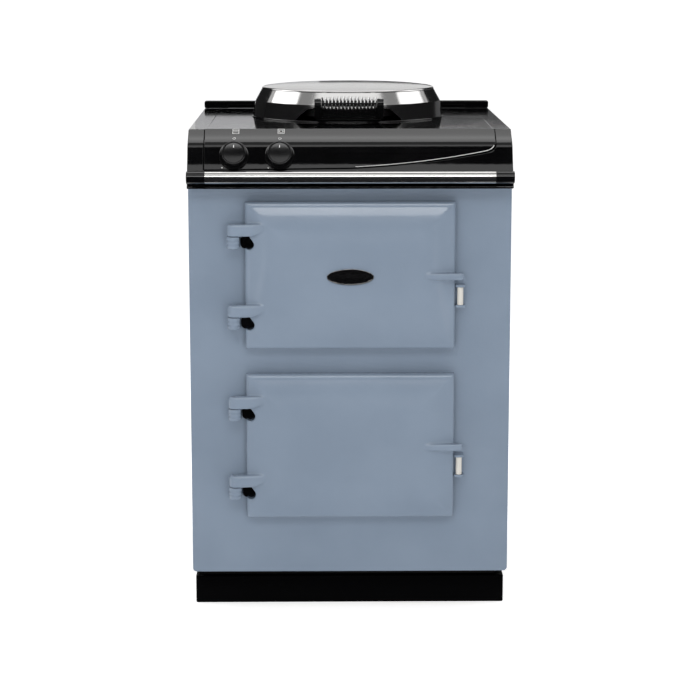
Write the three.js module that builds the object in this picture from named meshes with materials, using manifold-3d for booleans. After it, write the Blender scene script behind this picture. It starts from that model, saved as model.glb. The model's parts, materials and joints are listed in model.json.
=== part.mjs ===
// Cast iron range cooker: two ovens, one covered hotplate, front controls.
// Millimetres, +X right, +Y to the back, +Z up. The front plate's face is at y = 0 inside the
// group, and the group is moved so that the origin is the middle of the footprint on the floor.
import * as THREE from 'three';
import { mergeVertices } from 'three/addons/utils/BufferGeometryUtils.js';
import Module from 'manifold-3d';

const wasm = await Module();
wasm.setup();

// ---- Driving dimensions -------------------------------------------------------------------
const fit = 0.3;                  // gap between pieces that touch
const bodyWidth = 597;
const bodyDepth = 606;            // front plate face to back panel
const plinthHeight = 53;
const plinthRecess = 55;
const plinthInset = 2;
const plinthWall = 30;
const bodyBottom = 78;
const topHeight = 914;
const fasciaHeight = 103;
const bodyTop = topHeight - fasciaHeight;   // top edge of the front plate
const plateThickness = 8;
const plateCornerRadius = 7;
const sheetThickness = 3;
const sheetFlange = 18;

const ovenMouthWidth = 340;
const ovenMouthHeight = 226;
const ovenMouthRadius = 16;
const ovenDepth = 430;
const ovenWall = 5;
const ovenFlange = 14;
const shelfThickness = 6;
const runnerWidth = 9;
const elementRadius = 4;

const doorLap = 24;               // how far a door covers the front plate round its mouth
const doorWidth = ovenMouthWidth + 2 * doorLap;
const doorHeight = ovenMouthHeight + 2 * doorLap;
const doorCornerRadius = 5;
const upperDoorDrop = 162;        // front plate's top edge to the middle of the upper door
const doorSpacing = 322;
const doorCentres = { upper: bodyTop - upperDoorDrop, lower: bodyTop - upperDoorDrop - doorSpacing };
const doorStandoff = 5.5;         // room for the rope seal behind the door
const doorRimDepth = 22;
const doorBevel = 9;
const pillowRise = 13;
const pillowSlope = 70;
const doorWall = 14;              // rim left around the pocket behind the face
const doorFaceWall = 9;
const plugClearance = 5;
const plugReach = 25;             // how far the liner reaches into the oven mouth
const sealWidth = 8;

const hingeAxisX = -doorWidth / 2 - 21;
const hingeAxisDepth = 35;        // in front of the front plate
const hingeArmHeight = 23;
const hingeArmRadius = 12;
const hingeArmReach = 64;
const hingeArmOffsets = [86, -64];
const hingeBracketHeight = 22;
const hingePinRadius = 4;
const hornNotchWidth = 17;
const hornNotchHeight = 26;

const latchHeight = 13;
const latchTip = doorWidth / 2 - 72;
const latchEnd = doorWidth / 2 + 16;
const rollerRadius = 5.7;
const rollerLength = 33;
const rollerX = doorWidth / 2 + 9.5;
const rollerDepth = 22;
const catchDrop = 11;             // latch arm to the top of the catch
const catchPinRadius = 2;

const knobSpacing = 84;
const knobLeftX = -213;
const knobHeight = bodyTop + 58;
const knobRadius = 23;
const knobSkirtRadius = 27;
const knobSkirtDepth = 4;
const knobDepth = 16;
const shaftRadius = 3.5;
const switchRadius = 19;
const switchDepth = 24;

const housingStrip = 34;          // width of each side strip of the top housing
const housingDepth = 34;          // height of the housing along its sides
const fasciaThickness = 12;
const panelThickness = 8;
const panelProud = 1.5;
const panelGap = 1.2;
const panelLowRise = 34;          // panel's lower edge above the front plate, at its left
const panelHighRise = 65;         // and at its right
const panelCorner = 18;
const topPlateThickness = 6;
const topPlateFront = 40;
const cheekBack = 70;             // the fascia's end cheeks reach down to the front plate until here
const railRadius = 11.35;
const railHeight = bodyTop + 22;
const railDepth = 50;

const upstandHeight = topHeight + 16;
const upstandBar = 9;
const upstandDepth = 14;
const upstandFoot = 50;

const lidBehind = 226;            // hotplate's middle to the back of the body
const lidCentreY = bodyDepth - lidBehind;
const lidRadius = 190;
const lidShoulderRadius = 184;
const lidTopRadius = 169;
const lidShoulderRise = 31;
const lidEdgeRise = 58;
const lidRise = 63;
const lidWall = 3;
const lidArchHalf = 102;
const lidArchTopHalf = 64;
const lidArchHeight = 28;
const seatRingHeight = 2.5;
const hotplateRadius = 172;
const hotplateRise = 1;
const hotplateThickness = 22;     // below its flange's seat
const hotplateFlangeDepth = 10;
const hotplateFlangeReach = 14;
const ringElementInner = 60;
const ringElementInset = 20;
const ringElementDepth = 12;

const coilLength = 106;
const coilTurns = 15;
const coilRadius = 12;            // to the middle of the wire, halfway along
const coilEndRadius = 10;
const coilWireRadius = 1.6;
const coilStandoff = 32;          // coil axis to the lid's shoulder
const coilRise = 36;              // coil axis above the lid's rim
const handleRodRadius = 6;
const postWidth = 13;
const lidPinRadius = 5;
const lidPinRise = 17;
const lidPinBehind = 11;
const lidBracketHalf = 55;

// ---- Materials ----------------------------------------------------------------------------
const finish = (color, roughness, metalness) =>
  new THREE.MeshStandardMaterial({ color, roughness, metalness });
const enamelBlue = finish('#7e8a9a', 0.25, 0);
const enamelBlack = finish('#0b0b0d', 0.15, 0);
const enamelGrey = finish('#3c3d40', 0.45, 0);
const blackPlastic = finish('#0c0c0d', 0.3, 0);
const castIron = finish('#2b2b2c', 0.7, 0.6);
const polishedSteel = finish('#d6d6d6', 0.2, 1);
const chrome = finish('#dddddd', 0.08, 1);
const galvanised = finish('#9a9c9e', 0.5, 1);
const rope = finish('#6b6a66', 0.95, 0);
const insulation = finish('#cfc9b8', 0.95, 0);
const ivory = finish('#cbc9c4', 0.4, 0);

// ---- Solids: joins and cuts ---------------------------------------------------------------
function toSolid(geometry) {
  const bare = geometry.clone();
  for (const name of Object.keys(bare.attributes)) {
    if (name !== 'position') bare.deleteAttribute(name);
  }
  const merged = mergeVertices(bare, 1e-4);
  const corners = merged.index.array;
  const triVerts = [];
  for (let i = 0; i < corners.length; i += 3) {
    const [a, b, c] = [corners[i], corners[i + 1], corners[i + 2]];
    if (a !== b && b !== c && c !== a) triVerts.push(a, b, c);
  }
  return new wasm.Manifold(new wasm.Mesh({
    numProp: 3,
    vertProperties: new Float32Array(merged.attributes.position.array),
    triVerts: new Uint32Array(triVerts),
  }));
}

function toGeometry(solid) {
  const mesh = solid.getMesh();
  const geometry = new THREE.BufferGeometry();
  geometry.setAttribute('position', new THREE.BufferAttribute(mesh.vertProperties, 3));
  geometry.setIndex(new THREE.BufferAttribute(mesh.triVerts, 1));
  geometry.computeVertexNormals();
  return geometry;
}

const join = (first, ...rest) => rest.reduce((sum, solid) => sum.add(solid), first);
const cut = (first, ...rest) => rest.reduce((left, solid) => left.subtract(solid), first);

const cooker = new THREE.Group();

function place(name, solid, material) {
  const mesh = new THREE.Mesh(toGeometry(solid), material);
  mesh.name = name;
  cooker.add(mesh);
}

// ---- Shapes -------------------------------------------------------------------------------
function box(x0, x1, y0, y1, z0, z1) {
  const geometry = new THREE.BoxGeometry(x1 - x0, y1 - y0, z1 - z0);
  geometry.translate((x0 + x1) / 2, (y0 + y1) / 2, (z0 + z1) / 2);
  return toSolid(geometry);
}

function roundedShape(x0, x1, y0, y1, radius) {
  const shape = new THREE.Shape();
  shape.moveTo(x0 + radius, y0);
  shape.lineTo(x1 - radius, y0);
  shape.absarc(x1 - radius, y0 + radius, radius, -Math.PI / 2, 0);
  shape.absarc(x1 - radius, y1 - radius, radius, 0, Math.PI / 2);
  shape.absarc(x0 + radius, y1 - radius, radius, Math.PI / 2, Math.PI);
  shape.absarc(x0 + radius, y0 + radius, radius, Math.PI, 1.5 * Math.PI);
  return shape;
}

function polygon(points) {
  return new THREE.Shape(points.map(([a, b]) => new THREE.Vector2(a, b)));
}

// Outline drawn in X and Z, running back from yFront to yBack.
function frontPrism(shape, yFront, yBack, curveSegments = 4) {
  const geometry = new THREE.ExtrudeGeometry(shape, {
    depth: yBack - yFront, bevelEnabled: false, curveSegments,
  });
  geometry.rotateX(Math.PI / 2);
  geometry.translate(0, yBack, 0);
  return toSolid(geometry);
}

// Outline drawn in X and Y, running up from zLow to zHigh.
function floorPrism(shape, zLow, zHigh, curveSegments = 6) {
  const geometry = new THREE.ExtrudeGeometry(shape, {
    depth: zHigh - zLow, bevelEnabled: false, curveSegments,
  });
  geometry.translate(0, 0, zLow);
  return toSolid(geometry);
}

// Outline drawn in Y and Z, running from xLeft to xRight.
function sidePrism(shape, xLeft, xRight, curveSegments = 6) {
  const geometry = new THREE.ExtrudeGeometry(shape, {
    depth: xRight - xLeft, bevelEnabled: false, curveSegments,
  });
  geometry.applyMatrix4(new THREE.Matrix4().makeBasis(
    new THREE.Vector3(0, 1, 0), new THREE.Vector3(0, 0, 1), new THREE.Vector3(1, 0, 0)));
  geometry.translate(xLeft, 0, 0);
  return toSolid(geometry);
}

// Turned piece: the profile is [radius, height], from the axis back to it, or closed on itself.
function turned(profile, segments = 24) {
  const points = profile.map(([radius, height]) => new THREE.Vector2(radius, height));
  if (profile[0][0] > 0) points.push(points[0]);
  const geometry = new THREE.LatheGeometry(points, segments);
  geometry.rotateX(Math.PI / 2);
  return geometry;
}

function cylinder(radius, z0, z1, x, y, segments = 20) {
  const geometry = turned([[0, z0], [radius, z0], [radius, z1], [0, z1]], segments);
  geometry.translate(x, y, 0);
  return toSolid(geometry);
}

function crossCylinder(radius, x0, x1, y, z, segments = 20) {
  const geometry = turned([[0, x0], [radius, x0], [radius, x1], [0, x1]], segments);
  geometry.rotateY(Math.PI / 2);
  geometry.translate(0, y, z);
  return toSolid(geometry);
}

// ---- Plinth, feet and chassis -------------------------------------------------------------
const halfBody = bodyWidth / 2;
const plinthHalf = halfBody - plinthInset;
const plinthFront = plinthRecess;
const plinthBack = bodyDepth - plinthInset;
const footRadius = 20;
const footThickness = 8;
const footStemRadius = 6;
const footInset = 60;
const chassisInset = 14;
const chassisFront = plinthFront + chassisInset;
const chassisBack = plinthBack - chassisInset;
const chassisHalf = plinthHalf - chassisInset;
const chassisMember = footInset + footRadius;
const sideRailDrop = 8;           // side rails that the side panels are screwed to
const sideRailRise = 22;
const footX = plinthHalf - footInset;
const footFront = plinthFront + footInset;
const footBack = plinthBack - footInset;

const plinthOutline = roundedShape(-plinthHalf, plinthHalf, plinthFront, plinthBack, 4);
plinthOutline.holes.push(roundedShape(
  -plinthHalf + plinthWall, plinthHalf - plinthWall,
  plinthFront + plinthWall, plinthBack - plinthWall, 4));
place('plinth', floorPrism(plinthOutline, 0, plinthHeight, 2), enamelBlack);

const chassisOutline = roundedShape(-chassisHalf, chassisHalf, chassisFront, chassisBack, 6);
chassisOutline.holes.push(roundedShape(
  -chassisHalf + chassisMember, chassisHalf - chassisMember,
  chassisFront + chassisMember, chassisBack - chassisMember, 6));
let chassis = floorPrism(chassisOutline, plinthHeight + fit, bodyBottom - fit, 2);
const feet = {
  front_left: [-footX, footFront], front_right: [footX, footFront],
  back_left: [-footX, footBack], back_right: [footX, footBack],
};
for (const [corner, [x, y]] of Object.entries(feet)) {
  chassis = cut(chassis, cylinder(footStemRadius + fit, 0, topHeight, x, y, 12));
  const stem = cylinder(footStemRadius, footThickness - 1, bodyBottom - 2, x, y, 12);
  const pad = cylinder(footRadius, 0, footThickness, x, y);
  place(`levelling_foot_${corner}`, join(pad, stem), polishedSteel);
}
const railInner = chassisHalf - 1;
const railOuter = halfBody - sheetThickness - fit;
for (const sign of [-1, 1]) {
  chassis = join(chassis, box(Math.min(sign * railInner, sign * railOuter),
    Math.max(sign * railInner, sign * railOuter), chassisFront, chassisBack,
    plinthHeight + sideRailDrop, bodyBottom + sideRailRise));
}
place('base_chassis', chassis, castIron);

// ---- Body shell ---------------------------------------------------------------------------
const frontOutline = new THREE.Shape();
frontOutline.moveTo(-halfBody, bodyTop);
frontOutline.lineTo(-halfBody, bodyBottom + plateCornerRadius);
frontOutline.absarc(-halfBody + plateCornerRadius, bodyBottom + plateCornerRadius,
  plateCornerRadius, Math.PI, 1.5 * Math.PI);
frontOutline.absarc(halfBody - plateCornerRadius, bodyBottom + plateCornerRadius,
  plateCornerRadius, 1.5 * Math.PI, 2 * Math.PI);
frontOutline.lineTo(halfBody, bodyTop);
const mouthHalf = ovenMouthWidth / 2;
for (const z of Object.values(doorCentres)) {
  frontOutline.holes.push(roundedShape(-mouthHalf, mouthHalf,
    z - ovenMouthHeight / 2, z + ovenMouthHeight / 2, ovenMouthRadius));
}
place('front_plate', frontPrism(frontOutline, 0, plateThickness), enamelBlue);

const shellFront = plateThickness + fit;
const shellBack = bodyDepth - sheetThickness - fit;
const sidePanelTop = topHeight - housingDepth - fit;
for (const [side, sign] of [['left', -1], ['right', 1]]) {
  const outer = sign * halfBody;
  const inner = sign * (halfBody - sheetThickness);
  const lip = sign * (halfBody - sheetFlange);
  const corners = [
    [outer, shellFront], [outer, shellBack], [lip, shellBack], [lip, shellBack - sheetThickness],
    [inner, shellBack - sheetThickness], [inner, shellFront + sheetThickness],
    [lip, shellFront + sheetThickness], [lip, shellFront],
  ];
  const underCheek = box(-bodyWidth, bodyWidth, 0, cheekBack + fit, bodyTop, topHeight);
  const panel = cut(floorPrism(polygon(corners), bodyBottom, sidePanelTop), underCheek);
  place(`side_panel_${side}`, panel, enamelBlue);
}

const ventCount = 6;
const ventPitch = 44;
const ventWidth = 8;
const ventHeight = 70;
const ventLow = bodyTop - 121;
const inletX = 190;
const inletZ = 170;
const inletRadius = 12;
const backOutline = polygon([
  [-halfBody, bodyBottom], [halfBody, bodyBottom],
  [halfBody, sidePanelTop], [-halfBody, sidePanelTop]]);
for (let i = 0; i < ventCount; i += 1) {
  const x = (i - (ventCount - 1) / 2) * ventPitch;
  backOutline.holes.push(roundedShape(x - ventWidth / 2, x + ventWidth / 2,
    ventLow, ventLow + ventHeight, ventWidth / 2 - 0.2));
}
const inletHole = new THREE.Path();
inletHole.absarc(inletX, inletZ, inletRadius + 1.5, 0, 2 * Math.PI);
backOutline.holes.push(inletHole);
place('back_panel', frontPrism(backOutline, bodyDepth - sheetThickness, bodyDepth), galvanised);

const terminalWidth = 110;
const terminalHeight = 70;
const terminalDepth = 42;
const terminalBack = bodyDepth - sheetThickness - fit;
place('mains_terminal_box', join(
  box(inletX - terminalWidth / 2, inletX + terminalWidth / 2, terminalBack - terminalDepth,
    terminalBack, inletZ - terminalHeight / 2, inletZ + terminalHeight / 2),
  cylinder(inletRadius, 0, sheetThickness + fit + 1, 0, 0)
    .rotate([-90, 0, 0]).translate([inletX, terminalBack - 1, inletZ]),
), blackPlastic);

// ---- Ovens --------------------------------------------------------------------------------
const ovenFront = plateThickness + fit;
const ovenBack = ovenFront + ovenDepth;
const shelfHalf = mouthHalf - fit - 1;
const shelfFront = plugReach + 10;
const shelfBack = ovenBack - ovenWall - 10;
for (const [level, z] of Object.entries(doorCentres)) {
  const low = z - ovenMouthHeight / 2;
  const high = z + ovenMouthHeight / 2;
  const outer = roundedShape(-mouthHalf - ovenWall, mouthHalf + ovenWall,
    low - ovenWall, high + ovenWall, ovenMouthRadius + ovenWall);
  const flange = roundedShape(-mouthHalf - ovenFlange, mouthHalf + ovenFlange,
    low - ovenFlange, high + ovenFlange, ovenMouthRadius + ovenFlange);
  const inner = roundedShape(-mouthHalf, mouthHalf, low, high, ovenMouthRadius);
  const runnerTop = z - shelfThickness / 2 - fit;
  const runners = [-1, 1].map((sign) => box(
    Math.min(sign * (mouthHalf + 1), sign * (mouthHalf - runnerWidth)),
    Math.max(sign * (mouthHalf + 1), sign * (mouthHalf - runnerWidth)),
    shelfFront, shelfBack, runnerTop - 6, runnerTop));
  const shell = cut(
    join(frontPrism(outer, ovenFront, ovenBack), frontPrism(flange, ovenFront, ovenFront + ovenWall)),
    frontPrism(inner, ovenFront - 1, ovenBack - ovenWall));
  place(`${level}_oven_box`, join(shell, ...runners), castIron);

  const barCount = 12;
  const barWidth = 6;
  const frame = 12;
  const shelf = roundedShape(-shelfHalf, shelfHalf, shelfFront, shelfBack, 8);
  const gap = (2 * (shelfHalf - frame) - (barCount - 1) * barWidth) / barCount;
  const slots = Array.from({ length: barCount }, (_, i) => {
    const x = -shelfHalf + frame + i * (gap + barWidth);
    return box(x, x + gap, shelfFront + frame, shelfBack - frame, z - shelfThickness, z + shelfThickness);
  });
  const shelfPlate = floorPrism(shelf, z - shelfThickness / 2, z + shelfThickness / 2, 2);
  place(`${level}_oven_shelf`, cut(shelfPlate, ...slots), polishedSteel);

  const elementHalf = mouthHalf - 40;
  const elementZ = low - ovenWall - fit - elementRadius;
  const route = new THREE.CatmullRomCurve3([
    [-elementHalf, ovenBack - 4], [-elementHalf, ovenFront + 90], [-elementHalf + 25, ovenFront + 50],
    [elementHalf - 25, ovenFront + 50], [elementHalf, ovenFront + 90], [elementHalf, ovenBack - 4],
  ].map(([x, y]) => new THREE.Vector3(x, y, elementZ)), false, 'catmullrom', 0.4);
  const section = new THREE.Shape();
  section.absarc(0, 0, elementRadius, 0, 2 * Math.PI);
  place(`${level}_oven_element`, toSolid(new THREE.ExtrudeGeometry(section, {
    steps: 30, extrudePath: route, bevelEnabled: false, curveSegments: 4 })), castIron);
}

const boardInset = 12;
const upperFloor = doorCentres.upper - ovenMouthHeight / 2 - ovenFlange;
const lowerCeiling = doorCentres.lower + ovenMouthHeight / 2 + ovenFlange;
place('oven_insulation_board', box(-halfBody + sheetFlange + 2, halfBody - sheetFlange - 2,
  shellFront + boardInset, shellBack - boardInset,
  lowerCeiling - ovenFlange + ovenWall + fit, upperFloor - boardInset), insulation);

// ---- Doors --------------------------------------------------------------------------------
// The door's front: a rim with a bevel, then a pillow that rises to the middle in four mitred
// slopes. Depths are measured forward of the front plate.
const doorBackY = -doorStandoff;
const doorRimY = doorBackY - doorRimDepth;
const doorFaceY = doorRimY - pillowRise;
const doorHalfX = doorWidth / 2;
const doorHalfZ = doorHeight / 2;

function pillowRiseAt(x, z) {
  const inside = Math.min(doorHalfX - doorBevel - Math.abs(x), doorHalfZ - doorBevel - Math.abs(z));
  const share = Math.min(Math.max(inside / pillowSlope, 0), 1);
  return pillowRise * (1 - (1 - share) ** 2);
}

function ringPoint(half, height, t) {
  const corner = [[-1, -1], [1, -1], [1, 1], [-1, 1]];
  const side = Math.floor(t) % 4;
  const along = t - Math.floor(t);
  const [ax, az] = corner[side];
  const [bx, bz] = corner[(side + 1) % 4];
  return [half * (ax + (bx - ax) * along), height * (az + (bz - az) * along)];
}

// Rings from the back edge round the rim and over the pillow, each a closed loop of points.
function doorBody(centreZ) {
  const rings = [[doorHalfX, doorHalfZ, doorBackY], [doorHalfX, doorHalfZ, doorRimY + doorBevel * 0.7],
    [doorHalfX - doorBevel * 0.3, doorHalfZ - doorBevel * 0.3, doorRimY + doorBevel * 0.2],
    [doorHalfX - doorBevel, doorHalfZ - doorBevel, doorRimY]];
  for (const share of [0.15, 0.35, 0.6, 1]) {
    const inset = doorBevel + pillowSlope * share;
    rings.push([doorHalfX - inset, doorHalfZ - inset,
      doorRimY - pillowRiseAt(doorHalfX - inset, 0)]);
  }
  const stepsPerSide = 3;
  const loop = 4 * stepsPerSide;
  const positions = [];
  for (const [half, height, y] of rings) {
    for (let i = 0; i < loop; i += 1) {
      const [x, z] = ringPoint(half, height, i / stepsPerSide);
      positions.push(x, y, z + centreZ);
    }
  }
  const triangles = [];
  for (let ring = 0; ring + 1 < rings.length; ring += 1) {
    for (let i = 0; i < loop; i += 1) {
      const a = ring * loop + i;
      const b = ring * loop + ((i + 1) % loop);
      triangles.push(a, b, a + loop, b, b + loop, a + loop);
    }
  }
  const capBack = positions.length / 3;
  positions.push(0, doorBackY, centreZ, 0, doorFaceY, centreZ);
  const last = (rings.length - 1) * loop;
  for (let i = 0; i < loop; i += 1) {
    const next = (i + 1) % loop;
    triangles.push(capBack, next, i, capBack + 1, last + i, last + next);
  }
  const geometry = new THREE.BufferGeometry();
  geometry.setAttribute('position', new THREE.Float32BufferAttribute(positions, 3));
  geometry.setIndex(triangles);
  return toSolid(geometry);
}

// An arm seen from above: round at its free end, tapering into the face at the other.
function armSolid(xRound, yRound, radius, xTip, zMid, height) {
  const toward = Math.sign(xTip - xRound);
  const shape = new THREE.Shape();
  shape.moveTo(xRound, yRound - radius);
  shape.absarc(xRound, yRound, radius, -Math.PI / 2, Math.PI / 2, toward > 0);
  shape.lineTo(xTip - toward * 30, doorRimY + 2);
  shape.lineTo(xTip, doorRimY - 2);
  shape.lineTo(xTip, doorRimY - 6);
  shape.lineTo(xTip - toward * 30, doorFaceY - 2);
  return floorPrism(shape, zMid - height / 2, zMid + height / 2, 10);
}

const hingeAxisY = -hingeAxisDepth;
const latchY = -(rollerDepth + 14);
const latchRadius = 7;
const plugHalfX = mouthHalf - plugClearance;
const plugHalfZ = ovenMouthHeight / 2 - plugClearance;
const pocketHalfX = doorHalfX - doorWall - sealWidth;
const pocketHalfZ = doorHalfZ - doorWall - sealWidth;
for (const [level, z] of Object.entries(doorCentres)) {
  let door = doorBody(z);
  for (const offset of hingeArmOffsets) {
    const armZ = z + offset;
    const armLow = armZ - hingeArmHeight / 2;
    door = join(door, armSolid(hingeAxisX, hingeAxisY, hingeArmRadius,
      hingeAxisX + hingeArmReach, armZ, hingeArmHeight));
    const notch = roundedShape(-doorHalfX - hornNotchWidth, -doorHalfX + hornNotchWidth,
      armLow - hornNotchHeight, armLow, hornNotchWidth / 2);
    door = cut(door, frontPrism(notch, doorFaceY - 20, 0));
    door = cut(door, cylinder(hingePinRadius + fit, armLow - 1, armLow + hingeArmHeight + 1,
      hingeAxisX, hingeAxisY, 16));

    const bracketTop = armLow - fit;
    const bracketLow = bracketTop - hingeBracketHeight;
    const boss = new THREE.Shape();
    boss.moveTo(hingeAxisX + hingeArmRadius, hingeAxisY);
    boss.lineTo(hingeAxisX + hingeArmRadius, -fit);
    boss.lineTo(hingeAxisX - hingeArmRadius, -fit);
    boss.lineTo(hingeAxisX - hingeArmRadius, hingeAxisY);
    boss.absarc(hingeAxisX, hingeAxisY, hingeArmRadius, Math.PI, 2 * Math.PI);
    const tag = `${level}_door_${offset > 0 ? 'top' : 'bottom'}`;
    place(`${tag}_hinge_bracket`, cut(floorPrism(boss, bracketLow, bracketTop, 12),
      cylinder(hingePinRadius + fit, bracketLow + 4, bracketTop + 1, hingeAxisX, hingeAxisY, 16)),
    enamelBlue);
    place(`${tag}_hinge_pin`, cylinder(hingePinRadius, bracketLow + 4 + fit,
      armLow + hingeArmHeight - 1, hingeAxisX, hingeAxisY, 16), polishedSteel);
  }
  door = join(door, armSolid(latchEnd - latchRadius, latchY, latchRadius, latchTip, z, latchHeight));
  const pocket = frontPrism(roundedShape(-pocketHalfX, pocketHalfX, z - pocketHalfZ,
    z + pocketHalfZ, 6), doorRimY + doorFaceWall, 0, 2);
  place(`${level}_door`, cut(door, pocket), enamelBlue);

  place(`${level}_door_liner`, join(
    frontPrism(roundedShape(-pocketHalfX + fit, pocketHalfX - fit, z - pocketHalfZ + fit,
      z + pocketHalfZ - fit, 6), doorRimY + doorFaceWall + fit, doorBackY, 2),
    frontPrism(roundedShape(-plugHalfX, plugHalfX, z - plugHalfZ, z + plugHalfZ,
      ovenMouthRadius), doorBackY - 1, plugReach, 3),
  ), enamelGrey);

  const sealOuterX = pocketHalfX + sealWidth;
  const sealOuterZ = pocketHalfZ + sealWidth;
  const seal = roundedShape(-sealOuterX, sealOuterX, z - sealOuterZ, z + sealOuterZ, 12);
  seal.holes.push(roundedShape(-pocketHalfX, pocketHalfX, z - pocketHalfZ, z + pocketHalfZ, 5));
  place(`${level}_door_rope_seal`, frontPrism(seal, doorBackY + fit, -fit, 3), rope);

  const catchTop = z - latchHeight / 2 - catchDrop;
  const rollerTop = catchTop - 4 - fit;
  const rollerLow = rollerTop - rollerLength;
  const ear = roundedShape(rollerX - 9, rollerX + 9, -rollerDepth - 6, -fit, 4);
  const catchBody = join(floorPrism(ear, catchTop - 4, catchTop, 3),
    floorPrism(ear, rollerLow - fit - 4, rollerLow - fit, 3),
    box(rollerX - 9, rollerX + 9, -6, -fit, rollerLow - 6, catchTop),
    cylinder(catchPinRadius, rollerLow - fit - 1, rollerTop + fit + 1, rollerX, -rollerDepth, 12));
  place(`${level}_door_catch_bracket`, catchBody, enamelBlue);
  const rollerProfile = [[catchPinRadius + fit, rollerLow], [rollerRadius, rollerLow],
    [rollerRadius, rollerTop], [catchPinRadius + fit, rollerTop]];
  const roller = turned(rollerProfile, 16);
  roller.translate(rollerX, -rollerDepth, 0);
  place(`${level}_door_catch_roller`, toSolid(roller), ivory);
}

const badgeHalfX = 43.5;
const badgeHalfZ = 15;
const badgeThickness = 3;
const badge = new THREE.Shape();
badge.absellipse(0, doorCentres.upper, badgeHalfX, badgeHalfZ, 0, 2 * Math.PI);
place('upper_door_badge_plate', frontPrism(badge, doorFaceY - fit - badgeThickness,
  doorFaceY - fit, 32), chrome);

// ---- Top housing, control panel and top plate ----------------------------------------------
// Side profile of the fascia from its top edge to its lower lip: how far forward of the top plate,
// and what share of the fascia's height below the top.
const fasciaFall = [[0, 0], [17, 0.11], [32, 0.185], [40.5, 0.25], [46, 0.35], [51.5, 0.46],
  [57.5, 0.58], [64.5, 0.7], [71.5, 0.82], [78, 0.93]];
const fasciaCurve = new THREE.SplineCurve(fasciaFall.map(([forward, share]) =>
  new THREE.Vector2(topPlateFront - forward, topHeight - share * fasciaHeight)));
const fasciaSteps = 14;

function fasciaLine(offset) {
  return Array.from({ length: fasciaSteps + 1 }, (_, i) => {
    const point = fasciaCurve.getPoint(i / fasciaSteps);
    const along = fasciaCurve.getTangent(i / fasciaSteps);
    return [point.x + along.y * offset, point.y - along.x * offset];
  });
}

// A band that follows the fascia between two depths, measured outwards from its face.
function fasciaBand(inner, outer, half) {
  const line = [...fasciaLine(outer), ...fasciaLine(inner).reverse()];
  return sidePrism(polygon(line), -half, half);
}

const openingHalf = halfBody - housingStrip;
const panelHalf = openingHalf + 3;
const ledge = 8;
const ledgeTop = topHeight - topPlateThickness - fit;
const lipY = topPlateFront - 80;
const lipWeb = 4;                 // floor of the fascia, over the front plate's top edge
const housingUnder = bodyTop + fit;
const sideFloor = topHeight - housingDepth;
const cheekLine = [...fasciaLine(0), [lipY, housingUnder], [cheekBack, housingUnder],
  [cheekBack, sideFloor], [bodyDepth, sideFloor], [bodyDepth, topHeight]];
const cheek = (x0, x1) => sidePrism(polygon(cheekLine), x0, x1);
const frontBeam = [...fasciaLine(0), [lipY, housingUnder], [lipY + fasciaThickness, housingUnder],
  ...fasciaLine(-fasciaThickness).reverse()];
let housing = join(cheek(-halfBody, -openingHalf), cheek(openingHalf, halfBody),
  sidePrism(polygon(frontBeam), -openingHalf - 1, openingHalf + 1),
  box(-openingHalf - 1, openingHalf + 1, bodyDepth - fasciaThickness, bodyDepth, sideFloor, topHeight),
  box(-openingHalf - 1, openingHalf + 1, lipY + 1, plateThickness, housingUnder, housingUnder + lipWeb));
for (const sign of [-1, 1]) {
  const x0 = Math.min(sign * (openingHalf - ledge), sign * (openingHalf + 1));
  housing = join(housing, box(x0, x0 + ledge + 1, topPlateFront, bodyDepth - 1, sideFloor, ledgeTop));
}

// The control panel's outline seen from the front: level on the left, rising to the right.
function panelOutline(grow) {
  const shape = new THREE.Shape();
  const right = panelHalf + grow;
  const low = bodyTop + panelLowRise - grow;
  const high = bodyTop + panelHighRise - grow;
  shape.moveTo(-right, topHeight + 20);
  shape.lineTo(-right, low);
  shape.lineTo(0, low + 3);
  shape.quadraticCurveTo(panelHalf / 2, low + 9, right - panelCorner, high);
  shape.quadraticCurveTo(right, high + 3, right, high + panelCorner);
  shape.lineTo(right, topHeight + 20);
  return shape;
}

const knobXs = { oven_control: knobLeftX, hotplate_control: knobLeftX + knobSpacing };
let knobShare = 0;
while (fasciaCurve.getPoint(knobShare).y > knobHeight) knobShare += 0.002;
const knobTangent = fasciaCurve.getTangent(knobShare);
const knobTilt = Math.atan2(-knobTangent.x, -knobTangent.y);
const knobOnFace = fasciaCurve.getPoint(knobShare);
const knobPoint = [knobOnFace.x + knobTangent.y * panelProud, knobOnFace.y - knobTangent.x * panelProud];

// Turned pieces on a knob's axis: heights are measured outwards from the panel's face.
function onKnobAxis(geometry, x) {
  geometry.rotateX(Math.PI / 2 - knobTilt);
  geometry.translate(x, knobPoint[0], knobPoint[1]);
  return toSolid(geometry);
}

const pocket = fasciaBand(-panelThickness, 20, halfBody - 8).intersect(
  frontPrism(panelOutline(panelGap), -90, topPlateFront + 60, 10));
housing = cut(housing, pocket);
let panel = fasciaBand(-panelThickness + fit, panelProud, panelHalf)
  .intersect(frontPrism(panelOutline(0), -90, topPlateFront + 60, 10));
const panelTopCut = box(-halfBody, halfBody, topPlateFront - 1, topPlateFront + 60, topHeight - 30, topHeight + 40);
panel = cut(panel, panelTopCut);
for (const x of Object.values(knobXs)) {
  const hole = onKnobAxis(turned([[0, -60], [shaftRadius + 1, -60], [shaftRadius + 1, 30], [0, 30]], 16), x);
  panel = cut(panel, hole);
  housing = cut(housing, hole);
}
place('top_housing', housing, enamelBlack);
place('control_panel', panel, enamelBlack);

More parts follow.
